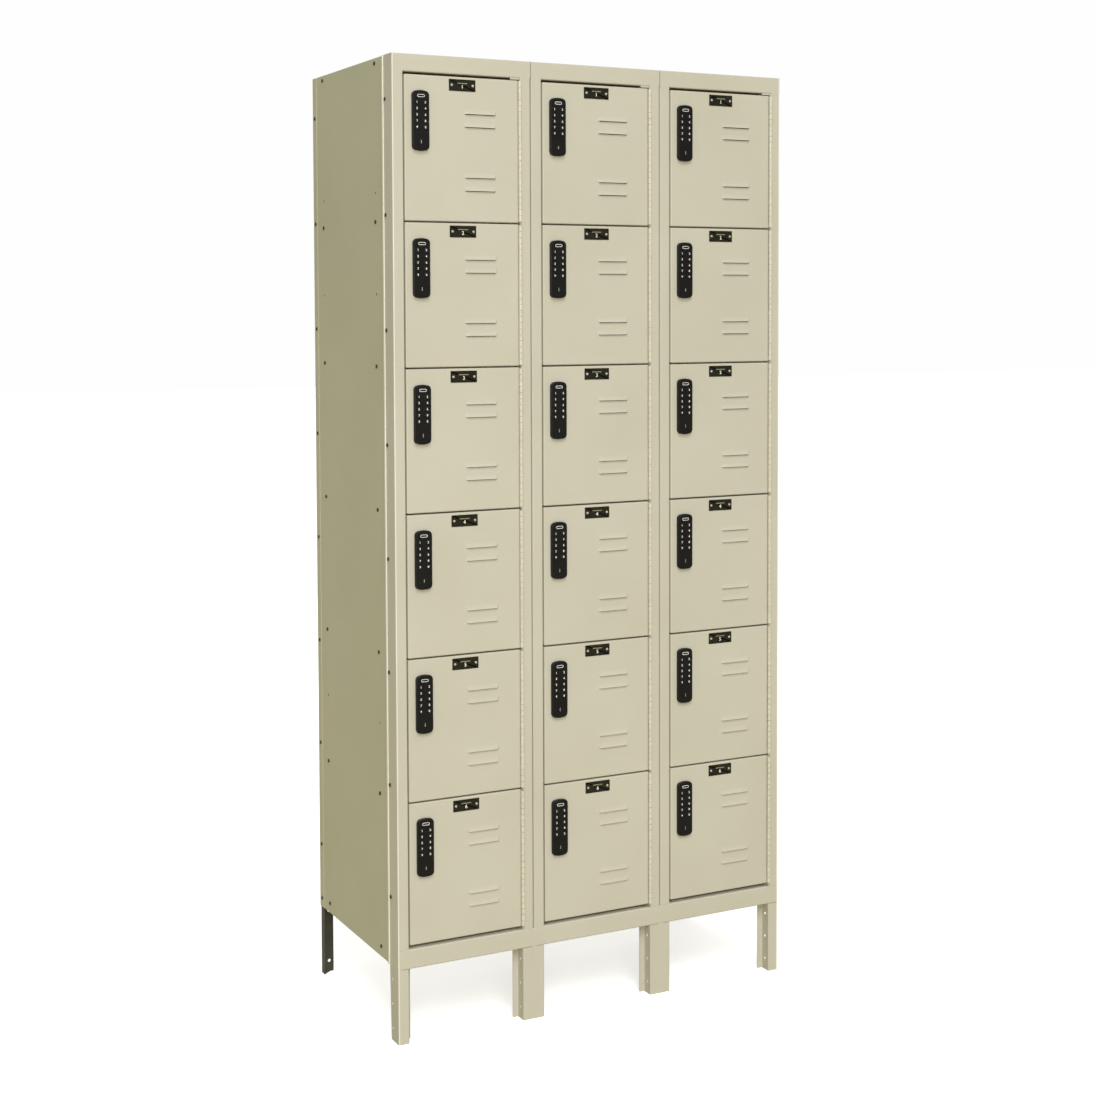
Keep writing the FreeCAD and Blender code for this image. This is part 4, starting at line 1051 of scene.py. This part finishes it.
# %% Lights
def soft_light(name, place, aim, wide, high, power, colour):
    """A rectangular area light that looks at a point."""
    select_only()
    bpy.ops.object.light_add(type="AREA", location=place)
    lamp = bpy.context.object
    lamp.name = name
    lamp.data.shape = "RECTANGLE"
    lamp.data.size, lamp.data.size_y = wide, high
    lamp.data.energy = power
    lamp.data.color = colour
    lamp.rotation_euler = (Vector(aim) - Vector(place)).to_track_quat("-Z", "Y").to_euler()
    return lamp


AIM = (0.0, 0.0, 1.0)
soft_light("front_softbox", (-1.9, -4.3, 2.15), AIM, 2.2, 2.4, 78.0, (1.0, 0.995, 0.985))
soft_light("left_warm_fill", (-4.2, 0.6, 2.6), AIM, 2.2, 2.2, 4.0, (1.0, 0.96, 0.55))
soft_light("back_fill", (1.5, 4.4, 2.6), AIM, 3.0, 2.6, 70.0, (1.0, 0.99, 0.97))
select_only()
bpy.ops.object.light_add(type="SUN", location=(2.0, -3.0, 4.0))
sky = bpy.context.object
sky.name = "overhead_diffuser"
sky.data.energy = 1.45
sky.data.angle = math.radians(28)
sky.data.color = (1.0, 0.995, 0.98)
sky.rotation_euler = (-Vector((-0.3, -1.0, 1.25))).to_track_quat("-Z", "Y").to_euler()

# %% A pale surround
# What the camera sees behind the floor is as pale as the floor itself, and what lights the locker
# from all round is dimmer.
world = bpy.context.scene.world or bpy.data.worlds.new("studio")
bpy.context.scene.world = world
world.use_nodes = True
air = world.node_tree
ambient = air.nodes["Background"]
ambient.inputs["Color"].default_value = (1.0, 0.985, 0.94, 1.0)
ambient.inputs["Strength"].default_value = 0.34
seen = air.nodes.new("ShaderNodeBackground")
seen.inputs["Color"].default_value = (0.99, 0.99, 0.99, 1.0)
seen.inputs["Strength"].default_value = 1.0
choice = air.nodes.new("ShaderNodeMixShader")
air.links.new(air.nodes.new("ShaderNodeLightPath").outputs["Is Camera Ray"], choice.inputs[0])
air.links.new(ambient.outputs[0], choice.inputs[1])
air.links.new(seen.outputs[0], choice.inputs[2])
air.links.new(choice.outputs[0], air.nodes["World Output"].inputs["Surface"])
bpy.context.scene.view_settings.view_transform = "Standard"

# %% Camera
FILM, LENS, RISE = 36.0, 59.207, -0.1347
EYE = (-1344.9, -3301.1, 1474.3)
YAW, PITCH, ROLL = 0.4722, -0.0493, 0.0034
select_only()
bpy.ops.object.camera_add(location=at(*EYE), rotation=(math.pi / 2 + PITCH, 0.0, -YAW))
camera = bpy.context.object
camera.name = "front_left_camera"
camera.rotation_euler = (camera.rotation_euler.to_matrix() @ Matrix.Rotation(-ROLL, 3, "Z")).to_euler()
camera.data.sensor_width = FILM
camera.data.lens = LENS
camera.data.shift_y = RISE
camera.data.clip_end = 50.0
bpy.context.scene.camera = camera
